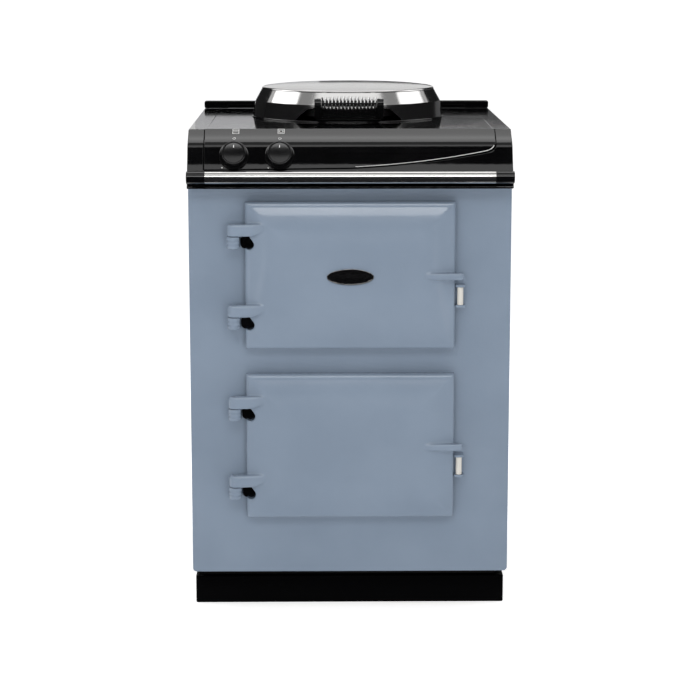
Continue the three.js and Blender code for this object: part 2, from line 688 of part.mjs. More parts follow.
const switchSeat = -(fasciaThickness + panelProud + 2.6);
for (const [name, x] of Object.entries(knobXs)) {
  const knob = onKnobAxis(turned([[0, 14], [shaftRadius + fit, 14], [shaftRadius + fit, 1.5],
    [knobSkirtRadius, 1.5], [knobSkirtRadius, knobSkirtDepth + 1.5],
    [knobRadius + 1, knobSkirtDepth + 3], [knobRadius, knobDepth - 2], [knobRadius - 2, knobDepth],
    [0, knobDepth]], 32), x);
  place(`${name}_knob`, knob, blackPlastic);
  place(`${name}_switch`, onKnobAxis(turned([[0, switchSeat - switchDepth],
    [switchRadius, switchSeat - switchDepth], [switchRadius, switchSeat], [shaftRadius, switchSeat],
    [shaftRadius, 14 - fit], [0, 14 - fit]], 20), x), blackPlastic);
}

const plateHalf = openingHalf - fit;
const plateBackY = bodyDepth - fasciaThickness - fit;
const hotplateGap = 3;
const seatInner = hotplateRadius + hotplateGap;
const seatOuter = lidRadius + 2;
const rimTop = topHeight + seatRingHeight;
const seatRing = turned([[seatInner, topHeight - topPlateThickness], [seatOuter, topHeight - topPlateThickness],
  [seatOuter, topHeight + 1], [seatOuter - 2, rimTop], [seatInner, rimTop]], 48);
seatRing.translate(0, lidCentreY, 0);
const plateShape = polygon([[topPlateFront + fit, topHeight - topPlateThickness],
  [plateBackY, topHeight - topPlateThickness], [plateBackY, topHeight],
  [topPlateFront + 4, topHeight], [topPlateFront + fit, topHeight - 3]]);
const topPlate = join(cut(sidePrism(plateShape, -plateHalf, plateHalf),
  cylinder(seatInner + 4, topHeight - 20, topHeight + 20, 0, lidCentreY, 48)), toSolid(seatRing));
place('top_plate', topPlate, enamelBlack);

const hotplateFlange = topHeight - topPlateThickness - fit;
const hotplateUnder = hotplateFlange - hotplateThickness;
const hotplateRim = hotplateRadius + hotplateFlangeReach;
const hotplate = turned([[0, hotplateUnder], [hotplateRadius, hotplateUnder],
  [hotplateRadius, hotplateFlange - hotplateFlangeDepth], [hotplateRim, hotplateFlange - hotplateFlangeDepth],
  [hotplateRim, hotplateFlange], [hotplateRadius, hotplateFlange],
  [hotplateRadius, topHeight + hotplateRise], [0, topHeight + hotplateRise]], 48);
hotplate.translate(0, lidCentreY, 0);
place('hotplate', toSolid(hotplate), castIron);
const elementOuter = hotplateRadius - ringElementInset;
const elementLow = hotplateUnder - fit - ringElementDepth;
const hotplateElement = turned([[ringElementInner, elementLow], [elementOuter, elementLow],
  [elementOuter, hotplateUnder - fit], [ringElementInner, hotplateUnder - fit]], 32);
hotplateElement.translate(0, lidCentreY, 0);
place('hotplate_element', toSolid(hotplateElement), castIron);

// ---- Handrail and rear upstand -------------------------------------------------------------
const railEnd = openingHalf;
place('handrail', crossCylinder(railRadius, -railEnd, railEnd, -railDepth, railHeight, 20), polishedSteel);
for (const [side, sign] of [['left', -1], ['right', 1]]) {
  const x0 = sign < 0 ? -halfBody : railEnd + fit;
  const x1 = sign < 0 ? -railEnd - fit : halfBody;
  const neck = box(x0, x1, -railDepth, topPlateFront, railHeight - railRadius * 0.7, railHeight + railRadius * 0.7);
  const bracket = join(crossCylinder(railRadius, x0, x1, -railDepth, railHeight, 20), neck);
  place(`handrail_bracket_${side}`, cut(bracket, housing.translate([0, -fit, 0]),
    box(x0 - 1, x1 + 1, -10, 2 * topPlateFront, 0, 2 * topHeight)), enamelBlack);
}

const upstandFront = bodyDepth - upstandDepth;
const upstandLow = topHeight + fit;
const upstandOutline = roundedShape(-halfBody, halfBody, upstandLow, upstandHeight, 4);
const upstandGap = roundedShape(-halfBody + upstandFoot, halfBody - upstandFoot,
  0, upstandHeight - upstandBar, 2);
place('rear_upstand', cut(frontPrism(upstandOutline, upstandFront, bodyDepth, 3),
  frontPrism(upstandGap, upstandFront - 1, bodyDepth + 1, 2)), enamelBlack);

// ---- Hotplate lid ---------------------------------------------------------------------------
const lidLow = rimTop + fit;
const lidOutside = [[lidRadius, 0], [lidRadius - 3, lidShoulderRise * 0.6], [lidShoulderRadius, lidShoulderRise],
  [(lidShoulderRadius + lidTopRadius) / 2 + 1, (lidShoulderRise + lidEdgeRise) / 2],
  [lidTopRadius + 2, lidEdgeRise - 4], [lidTopRadius - 5, lidEdgeRise],
  [lidTopRadius * 0.7, lidRise - 2], [lidTopRadius * 0.3, lidRise - 0.5], [0, lidRise]];
const lidInside = lidOutside.slice(1).map(([r, h]) => [Math.max(r - lidWall, 0), h - lidWall]);
const atLid = (profile, segments) => {
  const geometry = turned(profile.map(([r, h]) => [r, h + lidLow]), segments);
  geometry.translate(0, lidCentreY, 0);
  return toSolid(geometry);
};
const lidSegments = 48;
const lidShellProfile = [[0, lidRise - lidWall], ...lidInside.slice(0, -1).reverse(),
  [lidRadius - lidWall, 0], ...lidOutside];
const archFront = lidCentreY - lidRadius - 5;
const lidArch = frontPrism(polygon([[-lidArchHalf, lidLow - 1], [lidArchHalf, lidLow - 1],
  [lidArchTopHalf + 8, lidLow + lidArchHeight * 0.75], [lidArchTopHalf, lidLow + lidArchHeight],
  [-lidArchTopHalf, lidLow + lidArchHeight], [-lidArchTopHalf - 8, lidLow + lidArchHeight * 0.75],
]), archFront, lidCentreY - lidRadius / 2);
place('lid_shell', cut(atLid(lidShellProfile, lidSegments), lidArch), chrome);

const linerRadius = lidTopRadius - 11;
const linerLow = 6;
place('lid_liner', atLid([[0, linerLow], [linerRadius, linerLow], [linerRadius, lidEdgeRise - lidWall - 3],
  [lidTopRadius * 0.7 - lidWall, lidRise - 2 - lidWall - fit], [0, lidRise - lidWall - 0.5 - fit]],
lidSegments), polishedSteel);

// Handle: a bracket in the arch, two posts, a rod between them and the coil round the rod.
const coilY = lidCentreY - lidShoulderRadius - coilStandoff;
const coilZ = lidLow + coilRise;
const bracketFront = lidCentreY - lidRadius - 2;
const bracketBack = lidCentreY - linerRadius - fit;
const bracketHalf = lidArchTopHalf - 2;
place('lid_handle_bracket', box(-bracketHalf, bracketHalf, bracketFront, bracketBack,
  lidLow + 2, lidLow + lidArchHeight - fit), blackPlastic);

const postHead = 9;
const postOutline = new THREE.Shape();
postOutline.moveTo(bracketFront - fit, lidLow + lidArchHeight - 4);
postOutline.lineTo(coilY + postHead * 0.7, coilZ + postHead * 0.7);
postOutline.absarc(coilY, coilZ, postHead, Math.PI / 4, 1.25 * Math.PI);
postOutline.lineTo(bracketFront - fit - 10, lidLow + 5);
postOutline.lineTo(bracketFront - fit, lidLow + 5);
for (const [side, sign] of [['left', -1], ['right', 1]]) {
  const inner = coilLength / 2;
  const x0 = sign < 0 ? -inner - postWidth : inner;
  place(`lid_handle_post_${side}`, sidePrism(postOutline, x0, x0 + postWidth, 8), blackPlastic);
}
const rodHalf = coilLength / 2 - fit;
place('lid_handle_rod', crossCylinder(handleRodRadius, -rodHalf, rodHalf, coilY, coilZ, 16), blackPlastic);

// The coil's wire: its middle line, then rings of points round it joined into one closed tube.
const stepsPerTurn = 8;
const wireSides = 5;
const wireRun = 2 * coilWireRadius;
const coilHalf = coilLength / 2 - fit - wireRun;
const coilSteps = coilTurns * stepsPerTurn;
const coilPoint = (x, step) => {
  const share = step / coilSteps;
  const radius = coilEndRadius + (coilRadius - coilEndRadius) * (1 - (2 * share - 1) ** 2);
  const angle = (2 * Math.PI * step) / stepsPerTurn;
  return { x, radius, angle, at: new THREE.Vector3(x, radius * Math.cos(angle), radius * Math.sin(angle)) };
};
const wireLine = [coilPoint(-coilHalf - wireRun, 0)];
for (let step = 0; step <= coilSteps; step += 1) {
  wireLine.push(coilPoint(-coilHalf + (2 * coilHalf * step) / coilSteps, step));
}
wireLine.push(coilPoint(coilHalf + wireRun, coilSteps));

const wirePositions = [];
wireLine.forEach((point, i) => {
  const before = wireLine[Math.max(i - 1, 0)].at;
  const after = wireLine[Math.min(i + 1, wireLine.length - 1)].at;
  const along = after.clone().sub(before).normalize();
  const outward = new THREE.Vector3(0, Math.cos(point.angle), Math.sin(point.angle));
  outward.addScaledVector(along, -outward.dot(along)).normalize();
  const across = along.clone().cross(outward);
  for (let side = 0; side < wireSides; side += 1) {
    const turn = (2 * Math.PI * side) / wireSides;
    const corner = point.at.clone()
      .addScaledVector(outward, coilWireRadius * Math.cos(turn))
      .addScaledVector(across, coilWireRadius * Math.sin(turn));
    wirePositions.push(corner.x, corner.y + coilY, corner.z + coilZ);
  }
});
const wireTriangles = [];
for (let ring = 0; ring + 1 < wireLine.length; ring += 1) {
  for (let side = 0; side < wireSides; side += 1) {
    const a = ring * wireSides + side;
    const b = ring * wireSides + ((side + 1) % wireSides);
    wireTriangles.push(a, b, a + wireSides, b, b + wireSides, a + wireSides);
  }
}
const lastRing = (wireLine.length - 1) * wireSides;
for (let side = 1; side + 1 < wireSides; side += 1) {
  wireTriangles.push(0, side + 1, side, lastRing, lastRing + side, lastRing + side + 1);
}
const coilGeometry = new THREE.BufferGeometry();
coilGeometry.setAttribute('position', new THREE.Float32BufferAttribute(wirePositions, 3));
coilGeometry.setIndex(wireTriangles);
place('lid_handle_coil', toSolid(coilGeometry), chrome);

let leastGap = Infinity;
for (let i = 0; i < wireLine.length; i += 1) {
  for (let j = i + stepsPerTurn / 2; j < wireLine.length; j += 1) {
    leastGap = Math.min(leastGap, wireLine[i].at.distanceTo(wireLine[j].at) - 2 * coilWireRadius);
  }
}
console.log(`lid handle coil: least gap between turns ${leastGap.toFixed(2)} mm`);

// ---- Lid hinge ------------------------------------------------------------------------------
const lidPinY = lidCentreY + lidRadius + lidPinBehind;
const lidPinZ = lidLow + lidPinRise;
const knuckleRadius = 9;
const knuckleHalf = 34;
const earGap = 1;
const earWidth = 10;
const lidFilled = atLid([[0, -1], [lidRadius + fit, -1], ...lidOutside.map(([r, h]) => [r > 0 ? r + fit : 0, h + fit])],
  lidSegments);
const lidPinBore = crossCylinder(lidPinRadius + fit, -2 * lidBracketHalf, 2 * lidBracketHalf, lidPinY, lidPinZ, 16);
place('lid_hinge_arm', cut(join(crossCylinder(knuckleRadius, -knuckleHalf, knuckleHalf, lidPinY, lidPinZ, 20),
  box(-knuckleHalf, knuckleHalf, lidPinY - 40, lidPinY, lidPinZ - 4, lidPinZ + knuckleRadius)),
lidFilled, lidPinBore), castIron);
place('lid_hinge_pin', crossCylinder(lidPinRadius, -lidBracketHalf, lidBracketHalf, lidPinY, lidPinZ, 16),
  polishedSteel);
const hingeBaseFront = lidCentreY + seatOuter + fit;
const hingeBaseBack = lidPinY + knuckleRadius;
const hingeBase = box(-knuckleHalf - earGap - earWidth, knuckleHalf + earGap + earWidth,
  hingeBaseFront, hingeBaseBack, topHeight + fit, topHeight + 5);
const earSolids = [-1, 1].map((sign) => {
  const x0 = sign < 0 ? -knuckleHalf - earGap - earWidth : knuckleHalf + earGap;
  return join(box(x0, x0 + earWidth, hingeBaseFront, hingeBaseBack, topHeight + fit, lidPinZ),
    crossCylinder(hingeBaseBack - lidPinY, x0, x0 + earWidth, lidPinY, lidPinZ, 20));
});
place('lid_hinge_bracket', cut(join(hingeBase, ...earSolids), lidPinBore), castIron);

// ---- Place in the shared frame: middle of the footprint at the origin ------------------------
const frontReach = railDepth + railRadius;
cooker.position.y = -(bodyDepth - frontReach) / 2;

export default cooker;
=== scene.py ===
"""Dresses the cast iron range cooker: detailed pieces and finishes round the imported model."""

from __future__ import annotations

import json
import logging
import math
from dataclasses import dataclass, field
from enum import Enum
from typing import Callable, Iterable, Sequence

import bmesh
import bpy
from mathutils import Matrix, Vector


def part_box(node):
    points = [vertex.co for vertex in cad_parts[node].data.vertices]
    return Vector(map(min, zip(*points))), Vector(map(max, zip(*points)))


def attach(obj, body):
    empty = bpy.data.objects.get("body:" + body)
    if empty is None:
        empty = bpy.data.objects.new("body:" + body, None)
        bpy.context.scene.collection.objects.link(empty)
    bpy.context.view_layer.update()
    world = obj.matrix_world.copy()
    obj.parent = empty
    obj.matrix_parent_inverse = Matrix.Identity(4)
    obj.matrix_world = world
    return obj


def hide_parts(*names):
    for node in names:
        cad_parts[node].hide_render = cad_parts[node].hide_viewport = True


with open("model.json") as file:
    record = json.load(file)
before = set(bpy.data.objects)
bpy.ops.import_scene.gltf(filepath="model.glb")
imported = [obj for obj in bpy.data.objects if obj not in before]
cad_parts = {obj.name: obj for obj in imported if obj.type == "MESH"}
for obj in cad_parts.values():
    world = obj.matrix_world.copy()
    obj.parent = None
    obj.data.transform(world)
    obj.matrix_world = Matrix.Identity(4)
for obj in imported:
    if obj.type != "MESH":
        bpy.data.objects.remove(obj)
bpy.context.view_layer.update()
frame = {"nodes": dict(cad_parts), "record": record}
LOG = logging.getLogger("range_cooker")
MM = 0.001
Piece, Tree, Socket = bpy.types.Object, bpy.types.NodeTree, bpy.types.NodeSocket
Flat = tuple[float, float]
Point = tuple[float, float, float]


# ---- Finishes ---------------------------------------------------------------------------------
def linear(colour: str) -> tuple[float, float, float, float]:
    """Turns an sRGB hex colour to linear RGBA.

    Args:
        colour: six hex digits after a hash.

    Returns:
        The linear red, green, blue and an alpha of 1.
    """
    parts = [int(colour[i : i + 2], 16) / 255 for i in (1, 3, 5)]
    parts = [c / 12.92 if c <= 0.04045 else ((c + 0.055) / 1.055) ** 2.4 for c in parts]
    return (*parts, 1.0)


class Surface(Enum):
    """How a surface was made, which sets its fine relief."""

    GLAZED = "glazed"
    MOULDED = "moulded"
    SPUN = "spun"
    DRAWN = "drawn"
    SAND_CAST = "sand cast"
    SPANGLED = "spangled"
    BRAIDED = "braided"
    FIBRE = "fibre"


def add_node(tree: Tree, kind: str, links: dict | None = None, **settings) -> bpy.types.Node:
    """Adds a node with its settings, input values and links.

    Args:
        tree: the node tree.
        kind: the node's type.
        links: input name or index to a value or to an output socket.
        settings: the node's own properties.

    Returns:
        The new node.
    """
    made = tree.nodes.new(kind)
    for key, value in settings.items():
        setattr(made, key, value)
    for key, value in (links or {}).items():
        if isinstance(value, Socket):
            tree.links.new(value, made.inputs[key])
        else:
            made.inputs[key].default_value = value
    return made


@dataclass(frozen=True)
class Finish:
    """One real finish: what it is made of, its colour and the relief its making leaves."""

    name: str
    colour: str
    surface: Surface
    metallic: float = 0.0
    roughness: float = 0.3
    coat: float = 0.0
    grain_mm: float = 1.0
    relief: float = 0.05
    variation: float = 0.0
    worn: str | None = None
    sheen_level: float = 0.5
    centre: Point = (0.0, 0.0, 0.0)

    def build(self) -> bpy.types.Material:
        """Makes the material, or gives back the one already made."""
        known = bpy.data.materials.get(self.name)
        if known is not None:
            return known
        material = bpy.data.materials.new(self.name)
        material.use_nodes = True
        tree = material.node_tree
        shader = tree.nodes["Principled BSDF"]
        for key, value in (("Base Color", linear(self.colour)), ("Metallic", self.metallic),
                           ("Roughness", self.roughness), ("Specular IOR Level", self.sheen_level),
                           ("Coat Weight", self.coat), ("Coat Roughness", 0.04)):
            shader.inputs[key].default_value = value
        grain = self._grain(tree)
        bump = add_node(tree, "ShaderNodeBump", {"Strength": self.relief, "Distance": self.grain_mm * MM * 0.4,
                                                 "Height": grain})
        tree.links.new(bump.outputs["Normal"], shader.inputs["Normal"])
        low, high = self.roughness * (1 - self.variation), self.roughness * (1 + self.variation)
        patchy = add_node(tree, "ShaderNodeMapRange", {"Value": self._cloud(tree, 60.0), "From Min": 0.3,
                                                       "From Max": 0.7, "To Min": low, "To Max": high})
        tree.links.new(patchy.outputs["Result"], shader.inputs["Roughness"])
        if self.worn:
            mixed = add_node(tree, "ShaderNodeMix", {6: linear(self.colour), 7: linear(self.worn)},
                             data_type="RGBA")
            spread = add_node(tree, "ShaderNodeMapRange", {"Value": self._cloud(tree, 140.0), "From Min": 0.35,
                                                           "From Max": 0.65})
            tree.links.new(spread.outputs["Result"], mixed.inputs[0])
            tree.links.new(mixed.outputs[2], shader.inputs["Base Color"])
        return material

    def _place(self, tree: Tree, stretch: Point) -> Socket:
        """Object coordinates, centred on the piece and stretched along the way it was worked."""
        where = add_node(tree, "ShaderNodeTexCoord")
        moved = add_node(tree, "ShaderNodeMapping", {"Vector": where.outputs["Object"],
                                                     "Location": [-c for c in self.centre]})
        scaled = add_node(tree, "ShaderNodeMapping", {"Vector": moved.outputs["Vector"], "Scale": stretch})
        return scaled.outputs["Vector"]

    def _cloud(self, tree: Tree, size_mm: float) -> Socket:
        """Soft patches of a real size, for uneven gloss and colour."""
        noise = add_node(tree, "ShaderNodeTexNoise", {"Vector": self._place(tree, (1, 1, 1)),
                                                      "Scale": 1 / (size_mm * MM), "Detail": 3.0})
        return noise.outputs["Fac"]

    def _grain(self, tree: Tree) -> Socket:
        """The fine relief: peel, spin rings, draw lines, sand, spangle or braid."""
        scale = 1 / (self.grain_mm * MM)
        if self.surface is Surface.SPUN:
            return self._spun(tree, scale)
        if self.surface is Surface.DRAWN:
            place = self._place(tree, (0.02, 1, 1))
        elif self.surface is Surface.BRAIDED:
            place = self._place(tree, (0.6, 1, 0.6))
        else:
            place = self._place(tree, (1, 1, 1))
        if self.surface is Surface.SPANGLED or self.surface is Surface.BRAIDED:
            cells = add_node(tree, "ShaderNodeTexVoronoi", {"Vector": place, "Scale": scale})
            return cells.outputs["Distance"]
        detail = 8.0 if self.surface in (Surface.SAND_CAST, Surface.FIBRE) else 2.0
        noise = add_node(tree, "ShaderNodeTexNoise", {"Vector": place, "Scale": scale, "Detail": detail})
        return noise.outputs["Fac"]

    def _spun(self, tree: Tree, scale: float) -> Socket:
        """Rings left by spinning and polishing about the vertical middle of the piece."""
        parts = add_node(tree, "ShaderNodeSeparateXYZ", {"Vector": self._place(tree, (1, 1, 1))})
        flat = add_node(tree, "ShaderNodeCombineXYZ", {"X": parts.outputs["X"], "Y": parts.outputs["Y"]})
        reach = add_node(tree, "ShaderNodeVectorMath", {0: flat.outputs[0]}, operation="LENGTH")
        ring = add_node(tree, "ShaderNodeCombineXYZ", {"X": reach.outputs["Value"], "Y": parts.outputs["Z"]})
        noise = add_node(tree, "ShaderNodeTexNoise", {"Vector": ring.outputs[0], "Scale": scale, "Detail": 4.0})
        return noise.outputs["Fac"]


LID_CENTRE = tuple((a + b) / 2 for a, b in zip(*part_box("hotplate")))

# Vitreous enamel on cast iron: glass-hard gloss with a faint orange peel about 7 mm across.
BLUE_ENAMEL = Finish("vitreous_enamel_blue_grey", "#7e8c9d", Surface.GLAZED, roughness=0.22, coat=0.6,
                     grain_mm=7.0, relief=0.06, variation=0.15, worn="#8391a2")
# The same enamel in black: almost mirror-like, so it takes its look from what it reflects.
BLACK_ENAMEL = Finish("vitreous_enamel_black", "#050506", Surface.GLAZED, roughness=0.08, coat=0.25,
                      grain_mm=9.0, relief=0.03, variation=0.2)
# Matt black enamel low down on the plinth: hardly any sheen.
PLINTH_ENAMEL = Finish("matt_black_enamel", "#030304", Surface.GLAZED, roughness=0.42, grain_mm=3.0,
                       relief=0.05, variation=0.2, sheen_level=0.03)
# Ground-coat enamel inside the doors: darker, duller, slightly speckled.
GREY_ENAMEL = Finish("ground_coat_enamel", "#2c2d30", Surface.SAND_CAST, roughness=0.35, grain_mm=1.5,
                     relief=0.08, variation=0.15, worn="#313235")
# Moulded phenolic plastic: deep black with a soft gloss.
BLACK_PLASTIC = Finish("moulded_phenolic_black", "#0d0d0e", Surface.MOULDED, roughness=0.14, grain_mm=0.8,
                       relief=0.03, variation=0.2)
# Polished stainless tube: fine draw lines along its length.
RAIL_STEEL = Finish("drawn_stainless_steel", "#d9d8d6", Surface.DRAWN, metallic=1.0, roughness=0.16,
                    grain_mm=0.8, relief=0.05, variation=0.25)
SHELF_STEEL = Finish("plated_wire_steel", "#b9babb", Surface.DRAWN, metallic=1.0, roughness=0.3,
                     grain_mm=1.0, relief=0.1, variation=0.3)
# Chromed pressed steel, spun and buffed: rings round the lid's middle.
LID_CHROME = Finish("spun_chrome", "#cdcccb", Surface.SPUN, metallic=1.0, roughness=0.1, grain_mm=1.2,
                    relief=0.05, variation=0.2, centre=LID_CENTRE)
LINER_STEEL = Finish("brushed_steel_liner", "#a9a9a8", Surface.SPUN, metallic=1.0, roughness=0.33,
                     grain_mm=1.5, relief=0.05, variation=0.1, centre=LID_CENTRE)
BRIGHT_CHROME = Finish("bright_chrome", "#d8d8d8", Surface.MOULDED, metallic=1.0, roughness=0.07,
                       grain_mm=3.0, relief=0.02, variation=0.2)
# Machined cast iron hotplate: dark, ring-marked by the lathe.
HOTPLATE_IRON = Finish("machined_cast_iron", "#3a3a3b", Surface.SPUN, metallic=0.9, roughness=0.45,
                       grain_mm=1.6, relief=0.15, variation=0.15, worn="#323131", centre=LID_CENTRE)
# Sand-cast iron, blacked: a grain of about a millimetre.
CAST_IRON = Finish("sand_cast_iron", "#222224", Surface.SAND_CAST, metallic=0.5, roughness=0.62,
                   grain_mm=1.2, relief=0.45, variation=0.25, worn="#2b2827")
HEATER = Finish("oxidised_heater_sheath", "#4a4340", Surface.DRAWN, metallic=0.8, roughness=0.5,
                grain_mm=1.0, relief=0.15, variation=0.3, worn="#3a2f2b")
# Hot-dip galvanised sheet: spangle about 14 mm across.
GALVANISED = Finish("galvanised_sheet", "#9da1a4", Surface.SPANGLED, metallic=0.9, roughness=0.42,
                    grain_mm=14.0, relief=0.03, variation=0.15, worn="#8b9093")
# Braided glass fibre rope: plaits about 3 mm across.
SEAL_ROPE = Finish("braided_glass_fibre_rope", "#77746c", Surface.BRAIDED, roughness=0.9, grain_mm=3.0,
                   relief=0.8, variation=0.1, worn="#5f5c55")
# Glazed ceramic roller, off-white.
IVORY = Finish("glazed_ceramic_ivory", "#d6d3cc", Surface.GLAZED, roughness=0.22, coat=0.4, grain_mm=2.0,
               relief=0.03, variation=0.2)
# Screen-printed marking ink, matt white; the same white also paints the highlight line along the panel's lower sweep.
PRINT_AND_HIGHLIGHT_WHITE = Finish("print_and_highlight_white", "#e8e8e6", Surface.MOULDED, roughness=0.5, grain_mm=0.5, relief=0.02)
FIBRE_BOARD = Finish("mineral_fibre_board", "#cbc4b2", Surface.FIBRE, roughness=0.95, grain_mm=4.0,
                     relief=0.6, variation=0.05, worn="#bcb39f")
ZINC_SCREW = Finish("zinc_plated_screw", "#b4b6b6", Surface.DRAWN, metallic=1.0, roughness=0.3, grain_mm=0.8,
                    relief=0.1, variation=0.2)


# ---- Meshes -----------------------------------------------------------------------------------
BODIES = frame["record"]["behaviour"]["bodies"]
NODE_BODY = {node: body for body, nodes in BODIES.items() for node in nodes}
FACE_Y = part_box("front_plate")[0].y


def metres(x: float, y: float, z: float) -> Point:
    """A place in the front plate's millimetres as the frame's metres."""
    return (x * MM, FACE_Y + y * MM, z * MM)


def millimetres(place: Sequence[float]) -> Vector:
    """A place in the frame's metres as the front plate's millimetres."""
    return Vector((place[0] / MM, (place[1] - FACE_Y) / MM, place[2] / MM))


def linked(name: str, data: bpy.types.ID) -> Piece:
    """Puts a mesh, light or camera in the scene, at the origin."""
    made = bpy.data.objects.new(name, data)
    bpy.context.scene.collection.objects.link(made)
    return made


def mesh_object(name: str, points: Iterable[Sequence[float]], faces: Iterable[Sequence[int]]) -> Piece:
    """Makes an object at the origin.

    Args:
        name: the piece's name.
        points: places in millimetres, right, back and up from the middle of the front plate's foot on the floor.
        faces: the points round each face.

    Returns:
        The object, its place in its mesh.
    """
    mesh = bpy.data.meshes.new(name)
    mesh.from_pydata([metres(*point) for point in points], [], [tuple(f) for f in faces])
    mesh.update()
    return linked(name, mesh)


def cad_copy(node: str) -> Piece:
    """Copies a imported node's mesh with its vertices merged and its flat faces whole.

    Args:
        node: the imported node's name.

    Returns:
        The copy, named after the node.
    """
    work = bmesh.new()
    work.from_mesh(frame["nodes"][node].data)
    bmesh.ops.remove_doubles(work, verts=work.verts, dist=0.00002)
    bmesh.ops.dissolve_limit(work, angle_limit=math.radians(0.5), verts=work.verts, edges=work.edges)
    mesh = bpy.data.meshes.new(f"{node}_dressed")
    work.to_mesh(mesh)
    work.free()
    return linked(f"{node}_dressed", mesh)


def applied(piece: Piece) -> Piece:
    """Turns a piece's modifiers into plain mesh."""
    graph = bpy.context.evaluated_depsgraph_get()
    mesh = bpy.data.meshes.new_from_object(piece.evaluated_get(graph))
    piece.modifiers.clear()
    piece.data = mesh
    return piece


def bevelled(piece: Piece, width_mm: float, segments: int = 3, angle: float = 32.0,
             clamp: bool = True) -> Piece:
    """Rounds the edges sharper than an angle, as a casting's or pressing's edges are."""
    bevel = piece.modifiers.new("edge", "BEVEL")
    bevel.width = width_mm * MM
    bevel.segments = segments
    bevel.limit_method = "ANGLE"
    bevel.angle_limit = math.radians(angle)
    bevel.use_clamp_overlap = clamp
    return applied(piece)


def combined(piece: Piece, other: Piece, operation: str = "DIFFERENCE") -> Piece:
    """Cuts, joins or keeps the common part of two closed meshes, and deletes the second."""
    boolean = piece.modifiers.new("boolean", "BOOLEAN")
    boolean.object = other
    boolean.operation = operation
    boolean.solver = "EXACT"
    applied(piece)
    bpy.data.objects.remove(other)
    return piece


def joined(pieces: Sequence[Piece]) -> Piece:
    """Puts several meshes in the first one's object."""
    work = bmesh.new()
    for piece in pieces:
        work.from_mesh(piece.data)
    work.to_mesh(pieces[0].data)
    work.free()
    for piece in pieces[1:]:
        bpy.data.objects.remove(piece)
    return pieces[0]


def cast(piece: Piece, grid_mm: float, passes: int) -> Piece:
    """Melts closed shapes into one skin with soft fillets, as enamel on a casting leaves them."""
    remesh = piece.modifiers.new("skin", "REMESH")
    remesh.mode = "VOXEL"
    remesh.voxel_size = grid_mm * MM
    smooth = piece.modifiers.new("fillet", "SMOOTH")
    smooth.factor = 0.5
    smooth.iterations = passes
    return applied(piece)


def dress(piece: Piece, finish: Finish, body: str,
          stands_for: Sequence[str] = (), smooth_angle: float = 35.0) -> Piece:
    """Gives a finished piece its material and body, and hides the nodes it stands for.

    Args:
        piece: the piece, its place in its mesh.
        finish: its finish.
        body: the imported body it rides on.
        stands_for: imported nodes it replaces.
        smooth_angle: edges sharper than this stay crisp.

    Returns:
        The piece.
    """
    piece.data.materials.clear()
    piece.data.materials.append(finish.build())
    piece.data.shade_smooth()
    piece.data.set_sharp_from_angle(angle=math.radians(smooth_angle))
    weighted = piece.modifiers.new("flats", "WEIGHTED_NORMAL")
    weighted.keep_sharp = True
    weighted.weight = 100
    applied(piece)
    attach(piece, body)
    if stands_for:
        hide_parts(*stands_for)
    LOG.info("%s: %d faces on %s", piece.name, len(piece.data.polygons), body)
    return piece


def dress_as(piece: Piece, finish: Finish, node: str, smooth_angle: float = 35.0) -> Piece:
    """Dresses a piece that stands for one node, on that node's body."""
    return dress(piece, finish, NODE_BODY[node], (node,), smooth_angle)


def dress_beside(piece: Piece, finish: Finish, node: str) -> Piece:
    """Dresses a piece that rides with a node but stands for none."""
    return dress(piece, finish, NODE_BODY[node])


def strip_faces(rows: int, columns: int, wrap_rows: bool, wrap_columns: bool) -> list[tuple[int, ...]]:
    """Quads over a grid of points that may close on itself either way."""
    faces = []
    for i in range(rows if wrap_rows else rows - 1):
        for j in range(columns if wrap_columns else columns - 1):
            a, b = i * columns + j, i * columns + (j + 1) % columns
            c, d = ((i + 1) % rows) * columns + (j + 1) % columns, ((i + 1) % rows) * columns + j
            faces.append((a, b, c, d))
    return faces


def faced_out(piece: Piece) -> Piece:
    """Merges doubled points and turns every face outwards."""
    work = bmesh.new()
    work.from_mesh(piece.data)
    bmesh.ops.remove_doubles(work, verts=work.verts, dist=0.000005)
    bmesh.ops.dissolve_degenerate(work, dist=0.000001, edges=work.edges)
    bmesh.ops.recalc_face_normals(work, faces=work.faces)
    work.to_mesh(piece.data)
    work.free()
    return piece


def turned(name: str, profile: Sequence[Flat], place: Matrix, segments: int = 64) -> Piece:
    """Turns a profile about an axis.

    Args:
        name: the piece's name.
        profile: radius and height in millimetres, from the axis back to it, or a ring closed on itself.
        place: where the axis stands and points.
        segments: how many steps round.

    Returns:
        A closed mesh.
    """
    points = []
    for radius, height in profile:
        for step in range(segments):
            angle = 2 * math.pi * step / segments
            points.append(place @ Vector((radius * math.cos(angle), radius * math.sin(angle), height)))
    closed = profile[0][0] > 0
    return faced_out(mesh_object(name, points, strip_faces(len(profile), segments, closed, True)))


def prism(name: str, outline: Sequence[Flat], low: float, high: float, axis: str) -> Piece:
    """Runs a closed outline along X, Y or Z; the outline is in the other two axes, in that order."""
    places: dict[str, Callable[[float, float, float], Point]] = {
        "X": lambda a, b, t: (t, a, b), "Y": lambda a, b, t: (a, t, b), "Z": lambda a, b, t: (a, b, t)}
    count = len(outline)
    points = [places[axis](a, b, t) for t in (low, high) for a, b in outline]
    faces = [tuple(range(count)), tuple(range(2 * count - 1, count - 1, -1))]
    faces += strip_faces(2, count, False, True)
    return faced_out(mesh_object(name, points, faces))


def arc(x: float, y: float, radius: float, start: float, end: float, steps: int = 8) -> list[Flat]:
    """Points of an arc, its angles in degrees."""
    angles = [math.radians(start + (end - start) * i / steps) for i in range(steps + 1)]
    return [(x + radius * math.cos(a), y + radius * math.sin(a)) for a in angles]


